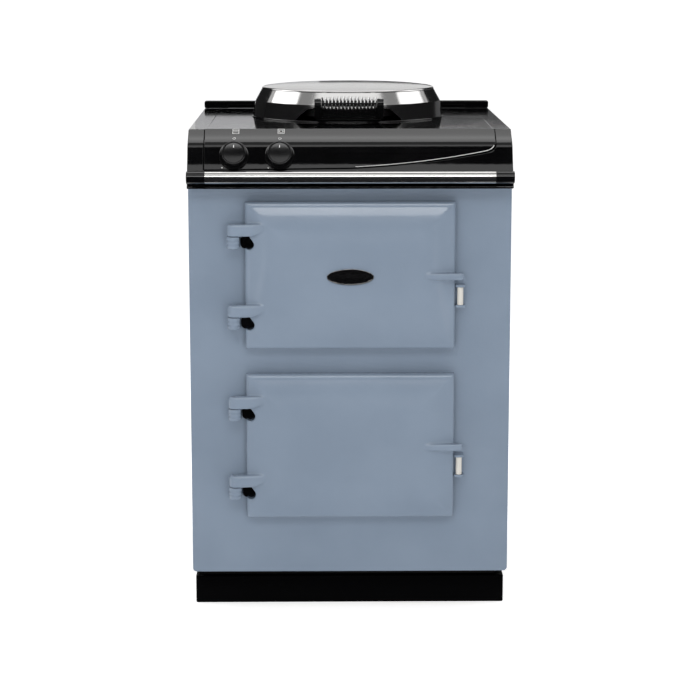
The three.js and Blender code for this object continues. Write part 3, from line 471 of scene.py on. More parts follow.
def rounded(x0: float, x1: float, y0: float, y1: float, radius: float, steps: int = 8) -> list[Flat]:
    """A rectangle's outline with round corners."""
    return (arc(x1 - radius, y0 + radius, radius, -90, 0, steps) + arc(x1 - radius, y1 - radius, radius, 0, 90, steps)
            + arc(x0 + radius, y1 - radius, radius, 90, 180, steps)
            + arc(x0 + radius, y0 + radius, radius, 180, 270, steps))


def swept(name: str, path: Sequence[Vector], radius: float, sides: int = 16, closed: bool = False) -> Piece:
    """A round tube along a path, capped at its ends unless it closes on itself."""
    count = len(path)
    points: list[Vector] = []
    normal = None
    for i, here in enumerate(path):
        before = path[i - 1] if i or closed else here
        after = path[(i + 1) % count] if i + 1 < count or closed else here
        along = (after - before).normalized()
        if normal is None:
            normal = along.orthogonal().normalized()
        normal = (normal - along * normal.dot(along)).normalized()
        side = along.cross(normal)
        for step in range(sides):
            angle = 2 * math.pi * step / sides
            points.append(here + normal * radius * math.cos(angle) + side * radius * math.sin(angle))
    faces = strip_faces(count, sides, closed, True)
    if not closed:
        faces += [tuple(range(sides)), tuple(range(count * sides - 1, (count - 1) * sides - 1, -1))]
    return faced_out(mesh_object(name, points, faces))


@dataclass(frozen=True)
class Span:
    """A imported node's box in millimetres from the front plate's face."""

    low: Vector
    high: Vector

    @property
    def middle(self) -> Vector:
        """The box's centre."""
        return (self.low + self.high) / 2

    @property
    def size(self) -> Vector:
        """The box's three lengths."""
        return self.high - self.low


def span(node: str) -> Span:
    """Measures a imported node."""
    return Span(*(millimetres(corner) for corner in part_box(node)))


# ---- Studio -----------------------------------------------------------------------------------
def studio_paint(name: str, colour: str, roughness: float, glow: float) -> bpy.types.Material:
    """A flat coat for the floor and the cards, glowing white by an amount."""
    material = bpy.data.materials.new(name)
    material.use_nodes = True
    shader = material.node_tree.nodes["Principled BSDF"]
    for key, value in (("Base Color", linear(colour)), ("Roughness", roughness), ("Emission Color", (1, 1, 1, 1)),
                       ("Emission Strength", glow)):
        shader.inputs[key].default_value = value
    return material


@dataclass
class Card:
    """A dark cloth or grey card that only reflections and bounced light can see.

    Attributes:
        name: the card's name.
        start: one corner, in millimetres.
        end: the opposite corner; where the card stands fore and aft, its x is the same.
        colour: its colour.
        glow: how bright it is of itself.
        bounce: whether it darkens the soft light too.
    """

    name: str
    start: Point
    end: Point
    colour: str
    glow: float = 0.0
    bounce: bool = True

    def build(self) -> None:
        """Hangs the card."""
        (x0, y0, z0), (x1, y1, z1) = self.start, self.end
        corners = [(x0, y0, z0), (x1, y0, z0), (x1, y1, z1), (x0, y1, z1)]
        if x0 == x1:
            corners = [(x0, y0, z0), (x0, y1, z0), (x0, y1, z1), (x0, y0, z1)]
        card = mesh_object(self.name, corners, [(0, 1, 2, 3)])
        paint = studio_paint(self.name, self.colour, 1.0, self.glow)
        paint.node_tree.nodes["Principled BSDF"].inputs["Specular IOR Level"].default_value = 0.1
        card.data.materials.append(paint)
        card.visible_camera = False
        card.visible_shadow = False
        card.visible_diffuse = self.bounce


def brighter_to_camera(tree: Tree, socket: Socket, low: float, high: float) -> None:
    """Gives a socket one strength as light, and another where the camera sees it bare."""
    bare = add_node(tree, "ShaderNodeLightPath").outputs["Is Camera Ray"]
    strength = add_node(tree, "ShaderNodeMapRange", {"Value": bare, "To Min": low, "To Max": high})
    tree.links.new(strength.outputs["Result"], socket)


@dataclass
class Studio:
    """The camera, the pale floor and backdrop, the soft lights and the dark cloths round them."""

    lens_mm: float = 110.6
    eye: Point = (-0.051, -4.2223, 1.228)
    aim: Point = (27.0, 2099.0, -384.0)
    middle: float = 0.45
    floor_colour: str = "#ffffff"
    floor_glow: Flat = (0.2, 0.6)
    floor_edge: float = 20.0
    curve: Flat = (7.0, 2.0)
    wall_height: float = 8.0
    sky: float = 0.34
    lights: tuple = (
        ("key", (-0.3, -3.9, 3.2), (4.2, 1.3), 56.0),
        ("low", (0.0, -4.35, 0.9), (3.0, 0.8), 58.0),
        ("overhead", (0.0, -1.75, 3.3), (5.0, 0.9), 13.0),
        ("left_rim", (-2.7, 0.9, 3.0), (2.6, 1.3), 22.0),
        ("right_rim", (2.7, 0.9, 3.0), (2.6, 1.3), 16.0),
        ("top", (0.0, 0.9, 3.0), (2.4, 1.4), 14.0))
    cards: tuple[Card, ...] = (
        Card("front_cloth", (-2400, -4500, 0), (2400, -4500, 3300), "#161617"),
        Card("floor_cloth", (-2200, -4400, 4), (2200, -60, 4), "#1c1c1e", bounce=False),
        Card("overhead_cloth", (-1800, -3150, 3400), (1800, -2050, 3400), "#101011"),
        Card("left_card", (-372, 1500, 500), (-60, 1500, 1040), "#8c8c90", 0.26),
        Card("right_card", (-60, 1500, 500), (3200, 1500, 1040), "#3a3a3c", 0.05),
        Card("left_cloth", (-2600, -4500, 0), (-2600, 2000, 2050), "#1c1c1d", bounce=False),
        Card("right_cloth", (2600, -4500, 0), (2600, 2000, 2050), "#1c1c1d", bounce=False),
        Card("left_wing", (-3600, 2000, 0), (-520, 2000, 2050), "#1c1c1d", bounce=False),
        Card("right_wing", (520, 2000, 0), (3600, 2000, 2050), "#1c1c1d", bounce=False),
    )

    def build(self) -> None:
        """Sets everything round the object."""
        self._camera()
        self._floor()
        self._world()
        for name, place, size, power in self.lights:
            self._light(name, Vector(place), size, power)
        for card in self.cards:
            card.build()
        scene = bpy.context.scene
        scene.view_settings.view_transform = "Standard"
        scene.view_settings.look = "None"

    def _camera(self) -> None:
        """Places the camera far in front, a little above the lid, tilted down to the cooker's middle."""
        data = bpy.data.cameras.new("camera")
        data.lens = self.lens_mm
        data.sensor_width = 36.0
        camera = linked("camera", data)
        camera.location = self.eye
        camera.rotation_mode = "QUATERNION"
        camera.rotation_quaternion = Vector(self.aim).to_track_quat("-Z", "Y")
        bpy.context.scene.camera = camera

    def _floor(self) -> None:
        """A seamless sweep: floor, curve and wall, in one sheet."""
        start, radius = self.curve
        profile = [(-self.floor_edge, 0.0), (start, 0.0)]
        profile += [(start + radius * math.sin(math.radians(a)), radius - radius * math.cos(math.radians(a)))
                    for a in range(6, 91, 6)]
        profile.append((start + radius, self.wall_height))
        points = [millimetres((x, y, z)) for y, z in profile for x in (-self.floor_edge, self.floor_edge)]
        floor = mesh_object("studio_sweep", points, strip_faces(len(profile), 2, False, False))
        paper = studio_paint("studio_paper", self.floor_colour, 0.9, 0.0)
        shader = paper.node_tree.nodes["Principled BSDF"]
        brighter_to_camera(paper.node_tree, shader.inputs["Emission Strength"], *self.floor_glow)
        floor.data.materials.append(paper)
        floor.data.shade_smooth()

    def _world(self) -> None:
        """White all round, so polished metal has something bright to show."""
        world = bpy.data.worlds.new("studio")
        world.use_nodes = True
        back = world.node_tree.nodes["Background"]
        back.inputs["Color"].default_value = (1, 1, 1, 1)
        brighter_to_camera(world.node_tree, back.inputs["Strength"], self.sky, 1.0)
        bpy.context.scene.world = world

    def _light(self, name: str, place: Vector, size: Flat, power: float) -> None:
        """Hangs one soft box, turned to the cooker's middle."""
        data = bpy.data.lights.new(name, "AREA")
        data.shape = "RECTANGLE"
        data.size, data.size_y = size
        data.energy = power
        light = linked(name, data)
        light.location = place
        light.visible_camera = False
        light.visible_glossy = name != "low"
        light.rotation_mode = "QUATERNION"
        light.rotation_quaternion = (Vector((0, 0, self.middle)) - place).to_track_quat("-Z", "Y")


# ---- Grown shapes -----------------------------------------------------------------------------
FLOAT, VECTOR, INT = "NodeSocketFloat", "NodeSocketVector", "NodeSocketInt"


def new_tree(name: str, sizes: dict[str, str]) -> tuple[Tree, bpy.types.NodeOutputs]:
    """Starts a geometry tree.

    Args:
        name: the tree's name.
        sizes: each input's name to its socket type.

    Returns:
        The tree, and its inputs by name.
    """
    tree = bpy.data.node_groups.new(name, "GeometryNodeTree")
    tree.interface.new_socket("Geometry", in_out="INPUT", socket_type="NodeSocketGeometry")
    for label, kind in sizes.items():
        tree.interface.new_socket(label, in_out="INPUT", socket_type=kind)
    tree.interface.new_socket("Geometry", in_out="OUTPUT", socket_type="NodeSocketGeometry")
    return tree, tree.nodes.new("NodeGroupInput").outputs


def flow(tree: Tree, kind: str, links: dict | None = None, **settings) -> Socket:
    """Adds a geometry node, and gives its first output."""
    return add_node(tree, f"GeometryNode{kind}", links, **settings).outputs[0]


def close_tree(tree: Tree, shape: Socket, finish: Finish) -> Tree:
    """Ends a tree with its copies made real and its material set."""
    real = flow(tree, "RealizeInstances", {"Geometry": shape})
    painted = flow(tree, "SetMaterial", {"Geometry": real, "Material": finish.build()})
    add_node(tree, "NodeGroupOutput", {"Geometry": painted})
    return tree


def grown(name: str, tree: Tree, sizes: dict[str, object],
          base: Piece | None = None) -> Piece:
    """Runs a tree on a piece and keeps the result as plain mesh.

    Args:
        name: the piece's name.
        tree: the geometry tree.
        sizes: input name to value.
        base: the piece the tree works on, or none for an empty one.

    Returns:
        The piece, with no modifier left.
    """
    made = base or mesh_object(name, [], [])
    modifier = made.modifiers.new("grown", "NODES")
    modifier.node_group = tree
    for item in tree.interface.items_tree:
        if item.in_out == "INPUT" and item.name in sizes:
            modifier[item.identifier] = sizes[item.name]
    return applied(made)


def calc(tree: Tree, operation: str, a: object, b: object = 0.0) -> Socket:
    """One step of arithmetic in a tree."""
    return add_node(tree, "ShaderNodeMath", {0: a, 1: b}, operation=operation).outputs[0]


def vector_calc(tree: Tree, operation: str, a: object, b: object) -> Socket:
    """One step of arithmetic on vectors; the second value of a scaling is a number."""
    return add_node(tree, "ShaderNodeVectorMath", {0: a, "Scale" if operation == "SCALE" else 1: b},
                    operation=operation).outputs[0]


def tube(tree: Tree, path: Socket, radius: Socket, resolution: int, caps: bool = False) -> Socket:
    """A round bar of a radius along a curve."""
    ring = flow(tree, "CurvePrimitiveCircle", {"Resolution": resolution, "Radius": radius})
    return flow(tree, "CurveToMesh", {"Curve": path, "Profile Curve": ring, "Fill Caps": caps})


def coil_tree(finish: Finish) -> Tree:
    """A spring handle: wire wound about X, its turns growing towards the middle."""
    tree, given = new_tree("coil", {"Turns": FLOAT, "Length": FLOAT, "End radius": FLOAT, "Bulge": FLOAT,
                                    "Wire radius": FLOAT, "Middle": VECTOR})
    line = flow(tree, "CurvePrimitiveLine", {"Start": (0, 0, 0), "End": (1, 0, 0)})
    fine = flow(tree, "ResampleCurve", {"Curve": line, "Count": 720})
    along = add_node(tree, "GeometryNodeSplineParameter").outputs["Factor"]
    angle = calc(tree, "MULTIPLY", calc(tree, "MULTIPLY", along, given["Turns"]), 2 * math.pi)
    swell = calc(tree, "MULTIPLY", calc(tree, "SINE", calc(tree, "MULTIPLY", along, math.pi)), given["Bulge"])
    radius = calc(tree, "ADD", given["End radius"], swell)
    place = add_node(tree, "ShaderNodeCombineXYZ", {
        "X": calc(tree, "MULTIPLY", calc(tree, "SUBTRACT", along, 0.5), given["Length"]),
        "Y": calc(tree, "MULTIPLY", calc(tree, "SINE", angle), radius),
        "Z": calc(tree, "MULTIPLY", calc(tree, "COSINE", angle), radius)}).outputs[0]
    bent = flow(tree, "SetPosition", {"Geometry": fine, "Position": vector_calc(tree, "ADD", place, given["Middle"])})
    return close_tree(tree, tube(tree, bent, given["Wire radius"], 14, True), finish)


def plait_tree(finish: Finish, strands: int = 8) -> Tree:
    """A braided rope: strands wound both ways round an upright path that the base's edges give."""
    tree, given = new_tree("plait", {"Turns": FLOAT, "Rope width": FLOAT, "Rope depth": FLOAT, "Strand radius": FLOAT})
    path = flow(tree, "MeshToCurve", {"Mesh": given["Geometry"]})
    fine = flow(tree, "ResampleCurve", {"Curve": path, "Count": 1184})
    along = add_node(tree, "GeometryNodeSplineParameter").outputs["Factor"]
    through = add_node(tree, "ShaderNodeCombineXYZ", {"Y": 1.0}).outputs[0]
    across = vector_calc(tree, "CROSS_PRODUCT", flow(tree, "InputTangent"), through)
    whole = add_node(tree, "GeometryNodeJoinGeometry")
    for number in range(strands):
        turns = calc(tree, "MULTIPLY", given["Turns"], 1.0 if number % 2 else -1.0)
        angle = calc(tree, "MULTIPLY", calc(tree, "MULTIPLY", along, turns), 2 * math.pi)
        angle = calc(tree, "ADD", angle, 2 * math.pi * (number // 2) / (strands / 2))
        sides = [vector_calc(tree, "SCALE", way, calc(tree, "MULTIPLY", calc(tree, wave, angle), given[reach]))
                 for way, wave, reach in ((across, "COSINE", "Rope width"), (through, "SINE", "Rope depth"))]
        wound = flow(tree, "SetPosition", {"Geometry": fine, "Offset": vector_calc(tree, "ADD", *sides)})
        tree.links.new(tube(tree, wound, given["Strand radius"], 5), whole.inputs[0])
    return close_tree(tree, whole.outputs[0], finish)


def row_tree(finish: Finish) -> Tree:
    """A row of round bars, pins or heads, each from one point to another, repeated by a step."""
    tree, given = new_tree("row", {"From": VECTOR, "To": VECTOR, "Step": VECTOR, "Count": INT, "Radius": FLOAT})
    bar = flow(tree, "CurvePrimitiveLine", {"Start": given["From"], "End": given["To"]})
    places = flow(tree, "MeshLine", {"Count": given["Count"], "Offset": given["Step"]})
    solid = tube(tree, bar, given["Radius"], 20, True)
    return close_tree(tree, flow(tree, "InstanceOnPoints", {"Points": places, "Instance": solid}), finish)


# ---- Body -------------------------------------------------------------------------------------
def edged(node: str, finish: Finish, width_mm: float, segments: int = 3, angle: float = 32.0) -> Piece:
    """A piece with its node's shape, its edges rounded as they really are."""
    return dress_as(bevelled(cad_copy(node), width_mm, segments, angle), finish, node)


@dataclass
class ScrewRow:
    """Screws in a straight row, their heads just under the face they hold."""

    name: str
    start: Point
    step: Point
    count: int
    outward: Point
    body: str = "root"
    head_mm: float = 4.2
    stand_mm: float = 1.8

    def build(self) -> Piece:
        """Makes the row with geometry nodes and rounds the heads."""
        base = Vector(metres(*self.start))
        top = base + Vector(self.outward) * self.stand_mm * MM
        heads = grown(self.name, row_tree(ZINC_SCREW), {
            "From": tuple(base), "To": tuple(top), "Step": tuple(c * MM for c in self.step),
            "Count": self.count, "Radius": self.head_mm * MM})
        bevelled(faced_out(heads), 0.7, 3, 50)
        return dress(heads, ZINC_SCREW, self.body)


@dataclass
class BodyShell:
    """The plinth, chassis, enamelled plates, back and feet."""

    edge_mm: float = 1.6
    plate_edge_mm: float = 2.2

    def build(self) -> None:
        """Makes each plate from the floor up."""
        edged("plinth", PLINTH_ENAMEL, self.edge_mm, 4)
        edged("base_chassis", CAST_IRON, 1.2, 2)
        edged("front_plate", BLUE_ENAMEL, self.plate_edge_mm, 4)
        for side in ("left", "right"):
            edged(f"side_panel_{side}", BLUE_ENAMEL, 0.9, 3)
            for end in ("front", "back"):
                edged(f"levelling_foot_{end}_{side}", SHELF_STEEL, 0.8, 2)
        edged("mains_terminal_box", BLACK_PLASTIC, 1.5, 3)
        self._screws()

    def _screws(self) -> None:
        """Countersunk screws down both edges and across the top and foot of the back, in pockets in its sheet."""
        back = span("back_panel")
        face, low, high = back.high.y, back.low.z, back.high.z
        sheet = cad_copy("back_panel")
        rise, run = (high - low - 60) / 6, (back.size.x - 32) / 4
        rows = [(side, (x, face - 2.0, low + 30), (0, 0, rise), 7)
                for side, x in (("left", back.low.x + 16), ("right", back.high.x - 16))]
        rows += [(end, (back.low.x + 16 + run, face - 2.0, z), (run, 0, 0), 3)
                 for end, z in (("foot", low + 14), ("top", high - 14))]
        for name, start, step, count in rows:
            for i in range(count):
                pocket = Matrix.Translation(Vector(start) + i * Vector(step)) @ Matrix.Rotation(-math.pi / 2, 4, "X")
                combined(sheet, turned("pocket", [(0, 0.9), (5.3, 0.9), (5.3, 4), (0, 4)], pocket, 24))
            ScrewRow(f"back_screws_{name}", start, step, count, (0, 1, 0)).build()
        dress_as(bevelled(sheet, 0.4, 2, 32), GALVANISED, "back_panel")


# ---- Doors ------------------------------------------------------------------------------------
@dataclass
class Arm:
    """A cast arm seen from above: round at its free end, running into the door's face at the other."""

    end: Flat
    radius: float
    tip_x: float
    root: Flat
    height: float
    lift: float = 0.0
    soft: int = 16

    def build(self, middle_z: float) -> Piece:
        """Makes the arm's rough shape about a height, its lower edge sloping up to the tip by lift."""
        x, y = self.end
        toward = 1 if self.tip_x > x else -1
        shoulder = self.tip_x - toward * 30
        front, back = self.root
        outline = arc(x, y, self.radius, 90, 270, 14) if toward > 0 else arc(x, y, self.radius, -90, 90, 14)
        low_run = [(shoulder, front - 1.0), (self.tip_x - toward * 14, front + 2.4), (self.tip_x, front + 8.0)]
        high_run = [(self.tip_x, back), (shoulder, back)]
        run = low_run + high_run if toward > 0 else high_run[::-1] + low_run[::-1]
        low, high = middle_z - self.height / 2, middle_z + self.height / 2
        arm = prism("arm", outline + run, low, high, "Z")
        bend = x + toward * 0.55 * abs(self.tip_x - x)
        far = self.tip_x + toward * 12
        slope = self.lift / abs(self.tip_x - bend)
        under = [(bend, low), (far, low + slope * abs(far - bend)), (far, low - 20), (bend, low - 20)]
        combined(arm, prism("under", under, y - 40, y + 40, "Y"))
        return cast(faced_out(arm), 1.6, self.soft)


@dataclass
class OvenDoor:
    """A cast door: pillow face with mitred corners, hinge arms, latch arm, pocket, liner and rope."""

    name: str
    half_width: float = 194.0
    half_height: float = 137.0
    back: float = -5.5
    rim: float = -27.5
    bevel: float = 9.0
    bevel_drop: float = 6.3
    slope: float = 70.0
    pillow: float = 13.0
    pin: Flat = (-215.0, -35.0)
    pin_bore: float = 4.9
    arm_offsets: Flat = (86.0, -64.0)
    grid_mm: float = 2.0
    middle_z: float = field(init=False)

    def __post_init__(self) -> None:
        """Takes the door's middle from its packed rope."""
        self.middle_z = span(f"{self.name}_rope_seal").middle.z

    def depth(self, x: float, z: float) -> float:
        """How far forward the face stands at a place, measured from the door's middle."""
        edge = min(self.half_width - abs(x), self.half_height - abs(z))
        if edge < self.bevel:
            share = 1 - edge / self.bevel
            return self.rim + self.bevel_drop * (1 - math.sqrt(max(0.0, 1 - share * share)))
        share = min(1.0, (edge - self.bevel) / self.slope)
        return self.rim - self.pillow * (1 - (1 - share) ** 2)

    def _stations(self, half: float) -> list[float]:
        """Places across the face: close together over the bevel, then even."""
        steps = [0.0, 0.7, 1.8, 3.2, 5.0, 7.0, 9.0] + [9.0 + 5.0 * i for i in range(1, 15)]
        left = [-half + s for s in steps]
        middle = 2 * left[-1] / -12
        return left + [left[-1] + middle * i for i in range(1, 12)] + [-x for x in reversed(left)]

    def _block(self) -> Piece:
        """The face, its sides and its flat back, closed."""
        across, up = self._stations(self.half_width), self._stations(self.half_height)
        points = [(x, self.depth(x, z), self.middle_z + z) for x in across for z in up]
        points += [(x, self.back, self.middle_z + z) for x in across for z in up]
        rows, columns = len(across), len(up)
        faces = strip_faces(rows, columns, False, False)
        size = rows * columns
        faces += [tuple(size + i for i in reversed(face)) for face in faces]
        rim = [i * columns for i in range(rows)] + [(rows - 1) * columns + j for j in range(1, columns)]
        rim += [i * columns + columns - 1 for i in range(rows - 2, -1, -1)] + list(range(columns - 2, 0, -1))
        faces += [(a, b, b + size, a + size) for a, b in zip(rim, rim[1:] + rim[:1])]
        return faced_out(mesh_object(self.name + "_cast", points, faces))

    def _cutters(self) -> list[Piece]:
        """The pocket behind the face and the two horn notches in the hinge edge."""
        z = self.middle_z
        tools = [prism("pocket", rounded(-172, 172, z - 115, z + 115, 6), self.rim + 9, 2, "Y")]
        for offset in self.arm_offsets:
            low = z + offset - 11.5
            horn = [(-214.0, low + 1), (-188.0, low + 1), (-181.5, low - 8)]
            horn += arc(-186.4, low - 16.4, 9.2, 25, -115, 10) + [(-204.0, low - 14), (-214.0, low - 9)]
            tools.append(prism("notch", horn, -70, 3, "Y"))
        return tools

    def build(self) -> None:
        """Casts the door with its arms in one skin, then adds what it carries."""
        door = self._block()
        for tool in self._cutters():
            combined(door, tool)
        arms = [Arm(self.pin, 12.0, -151.0, (-40.5, -26.0), 23.0, 11.0).build(self.middle_z + offset)
                for offset in self.arm_offsets]
        arms.append(Arm((203.0, -36.0), 7.0, 122.0, (-42.0, -28.0), 13.0, 3.0, 7).build(self.middle_z))
        door = cast(joined([door, *arms]), self.grid_mm, 5)
        for offset in self.arm_offsets:
            low = self.middle_z + offset - 14
            bore = turned("bore", [(0, 0), (self.pin_bore, 0), (self.pin_bore, 25.5), (0, 25.5)],
                          Matrix.Translation((*self.pin, low)), 24)
            combined(door, bore)
        dress_as(door, BLUE_ENAMEL, self.name, 60)
        edged(f"{self.name}_liner", GREY_ENAMEL, 3.0, 4)
        self._rope()
        self._shade_pads()
        for end in ("top", "bottom"):
            self._bracket(f"{self.name}_{end}_hinge_bracket")
            edged(f"{self.name}_{end}_hinge_pin", RAIL_STEEL, 0.6, 2)
        edged(f"{self.name}_catch_bracket", BLUE_ENAMEL, 0.9, 3)
        edged(f"{self.name}_catch_roller", IVORY, 0.9, 3)

    def _bracket(self, node: str) -> None:
        """A cast hinge boss with two shallow rings, on a neck from the front plate."""
        box = span(node)
        x, y = self.pin
        low, high, r = box.low.z, box.high.z, box.size.x / 2
        profile = [(0, low + 4), (0, low), (r - 2.4, low), (r - 0.8, low + 0.8), (r, low + 2.6)]
        for ring in (low + 7.2, low + 14.4):
            profile += [(r, ring - 1.4), (r - 0.9, ring - 0.5), (r - 0.9, ring + 0.5), (r, ring + 1.4)]
        profile += [(r, high - 1.2), (r - 1.2, high), (4.4, high), (4.4, low + 4)]
        boss = turned(node, profile[1:] + [(0, low + 4)], Matrix.Translation((x, y, 0)), 64)
        neck = prism("neck", [(x - r, y), (x + r, y), (x + r, box.high.y), (x - r, box.high.y)], low, high, "Z")
        hollow = turned("hollow", [(0, low - 1), (r - 2, low - 1), (r - 2, high + 1), (0, high + 1)],
                        Matrix.Translation((x, y, 0)), 64)
        combined(bevelled(neck, 1.2, 3), hollow)
        dress_as(combined(boss, neck, "UNION"), BLUE_ENAMEL, node, 40)

    def _shade_pads(self) -> None:
        """Black pads set deep in the two horn notches: painted shade that makes the notches as dark as a deep shadow.
        """
        for end, offset in zip(("top", "bottom"), self.arm_offsets):
            low = self.middle_z + offset - 11.5
            outline = rounded(-202, -177.4, low - 25.6, low - 0.6, 8)
            # a black pad standing in for the shadow deep in the notch: painted shade, not a real coated surface
            pad = prism(f"{self.name}_{end}_horn_shade_pad", outline, -8.5, -6.5, "Y")
            dress_beside(pad, BLACK_ENAMEL, self.name)

    def _rope(self) -> None:
        """The braided seal round the liner, pressed a little flat."""
        box = span(f"{self.name}_rope_seal")
        y = box.middle.y
        inset = 4.0
        loop = rounded(box.low.x + inset, box.high.x - inset, box.low.z + inset, box.high.z - inset, 8, 10)
        count = len(loop)
        path = bpy.data.meshes.new("rope_path")
        path.from_pydata([metres(x, y, z) for x, z in loop], [(i, (i + 1) % count) for i in range(count)], [])
        guide = linked(self.name + "_rope", path)
        rope = grown(guide.name, plait_tree(SEAL_ROPE), {
            "Turns": 74.0, "Rope width": 2.7 * MM, "Rope depth": 1.15 * MM, "Strand radius": 1.2 * MM}, guide)
        core = swept("core", [Vector((x, y, z)) for x, z in loop], 1.7, 10, True)
        dress_as(joined([rope, core]), SEAL_ROPE, f"{self.name}_rope_seal", 70)


# ---- Top housing, control panel and knobs -----------------------------------------------------
@dataclass
class Fascia:
    """The curve of the cooker's brow: how far forward of the top plate, and how far below its top."""

    front: float = 40.0
    top: float = 914.0
    height: float = 103.0
    fall: tuple[Flat, ...] = (
        (0, 0), (17, 0.11), (32, 0.185), (40.5, 0.25), (46, 0.35), (51.5, 0.46), (57.5, 0.58), (64.5, 0.7),
        (71.5, 0.82), (78, 0.93))

    def line(self, offset: float = 0.0, steps: int = 44) -> list[Flat]:
        """Points down the curve, each moved outwards by an offset, as (y, z)."""
        knots = [Vector((self.front - forward, self.top - share * self.height)) for forward, share in self.fall]
        made = []
        for i in range(steps + 1):
            place = i / steps * (len(knots) - 1)
            whole = min(int(place), len(knots) - 2)
            t = place - whole
            a, b, c, d = (knots[min(max(whole + k, 0), len(knots) - 1)] for k in (-1, 0, 1, 2))
            u, v = (c - a) / 2, (d - b) / 2
            point = (2 * b - 2 * c + u + v) * t ** 3 + (3 * c - 3 * b - 2 * u - v) * t ** 2 + u * t + b
            slope = (2 * b - 2 * c + u + v) * 3 * t ** 2 + (3 * c - 3 * b - 2 * u - v) * 2 * t + u
            slope.normalize()
            made.append((point.x + slope.y * offset, point.y - slope.x * offset))
        return made

    def down(self, distance: float, offset: float) -> Flat:
        """The place at a distance down the curve from its top edge, moved outwards by an offset."""
        line = self.line(offset, 200)
        for (y0, z0), (y1, z1) in zip(line, line[1:]):
            step = math.hypot(y1 - y0, z1 - z0)
            if distance <= step:
                share = distance / step
                return (y0 + (y1 - y0) * share, z0 + (z1 - z0) * share)
            distance -= step
        return line[-1]

    def band(self, inner: float, outer: float, half: float) -> Piece:
        """A plate that follows the curve between two depths."""
        return prism("band", self.line(outer) + self.line(inner)[::-1], -half, half, "X")


def box_mesh(low: Point, high: Point) -> Piece:
    """A rectangular block between two corners."""
    (x0, y0, z0), (x1, y1, z1) = low, high
    return prism("block", [(x0, y0), (x1, y0), (x1, y1), (x0, y1)], z0, z1, "Z")


@dataclass
class TopHousing:
    """The black enamelled housing: end cheeks, brow, side strips and rear rail in one."""

    fascia: Fascia
    half: float = 298.5
    opening: float = 264.5
    wall: float = 12.0
    depth: float = 34.0
    back: float = 606.0
    cheek_back: float = 70.0
    panel_half: float = 267.5

    def panel_outline(self, grow: float) -> list[Flat]:
        """The control panel from the front: level on the left, rising in one sweep to the right."""
        right, body_top = self.panel_half + grow, self.fascia.top - self.fascia.height
        low, high = body_top + 34 - grow, body_top + 65 - grow
        outline = [(-right, self.fascia.top + 20), (-right, low), (0.0, low + 3)]
        for start, bend, end, steps in (((0.0, low + 3), (self.panel_half / 2, low + 9), (right - 18, high), 28),
                                        ((right - 18, high), (right, high + 3), (right, high + 18), 10)):
            for i in range(1, steps + 1):
                t = i / steps
                outline.append(tuple((1 - t) ** 2 * a + 2 * t * (1 - t) * b + t * t * c
                                     for a, b, c in zip(start, bend, end)))
        return outline + [(right, self.fascia.top + 20)]

    def build(self, shafts: Sequence[Piece]) -> None:
        """Makes the housing and the panel sunk in it, both pierced for the control shafts."""
        housing = self._housing()
        pocket = combined(self.fascia.band(-8.0, 20.0, self.half - 8),
                          prism("outline", self.panel_outline(1.2), -90, self.fascia.front + 60, "Y"), "INTERSECT")
        combined(housing, pocket)
        panel = combined(self.fascia.band(-7.7, 1.5, self.panel_half),
                         prism("outline", self.panel_outline(0.0), -90, self.fascia.front + 60, "Y"), "INTERSECT")
        combined(panel, box_mesh((-300, self.fascia.front - 1, self.fascia.top - 30), (300, 100, self.fascia.top + 40)))
        for shaft in shafts:
            combined(housing, linked("shaft", shaft.data.copy()))
            combined(panel, shaft)
        self._sweep_highlight()
        # Unclamped, so that the curve's own short steps don't hold the rounding back.
        for piece, node, width in ((housing, "top_housing", 1.6), (panel, "control_panel", 0.9)):
            dress_as(bevelled(faced_out(piece), width, 3, 40, clamp=False), BLACK_ENAMEL, node, 50)

    def _sweep_highlight(self) -> None:
        """A painted highlight: a fine white line that follows the panel's lower edge to the right, standing for the
        light its edge catches.
        """
        far, top = self.fascia.front + 60, self.fascia.top
        outer, inner = ([point for point in self.panel_outline(grow) if point[0] > 5 and point[1] < top - 26]
                        for grow in (-1.1, -1.9))
        line = combined(self.fascia.band(1.3, 1.62, self.panel_half),
                        prism("outline", outer + inner[::-1], -90, far, "Y"), "INTERSECT")
        # painted highlight along the panel's edge, laid on in the white print finish
        line.name = "panel_sweep_line"
        dress_beside(line, PRINT_AND_HIGHLIGHT_WHITE, "control_panel")

    def _housing(self) -> Piece:
        """The housing's body before the panel is let in."""
        face, top = self.fascia, self.fascia.top
        lip, under, floor = face.front - 80, top - face.height + 0.3, top - self.depth
        cheek = face.line() + [(lip, under), (self.cheek_back, under), (self.cheek_back, floor), (self.back, floor),
                               (self.back, top)]
        beam = face.line() + [(lip, under), (lip + self.wall, under)] + face.line(-self.wall)[::-1]
        housing = prism("top_housing_cast", cheek, -self.half, -self.opening, "X")
        reach = self.opening + 1
        for part in (prism("cheek", cheek, self.opening, self.half, "X"),
                     prism("beam", beam, -reach, reach, "X"),
                     box_mesh((-reach, self.back - self.wall, floor), (reach, self.back, top)),
                     box_mesh((-reach, lip + 1, under), (reach, 8, under + 4)),
                     box_mesh((-reach, face.front, floor), (-reach + 9, self.back - 1, top - 6.3)),
                     box_mesh((reach - 9, face.front, floor), (reach, self.back - 1, top - 6.3))):
            combined(housing, part, "UNION")
        return housing


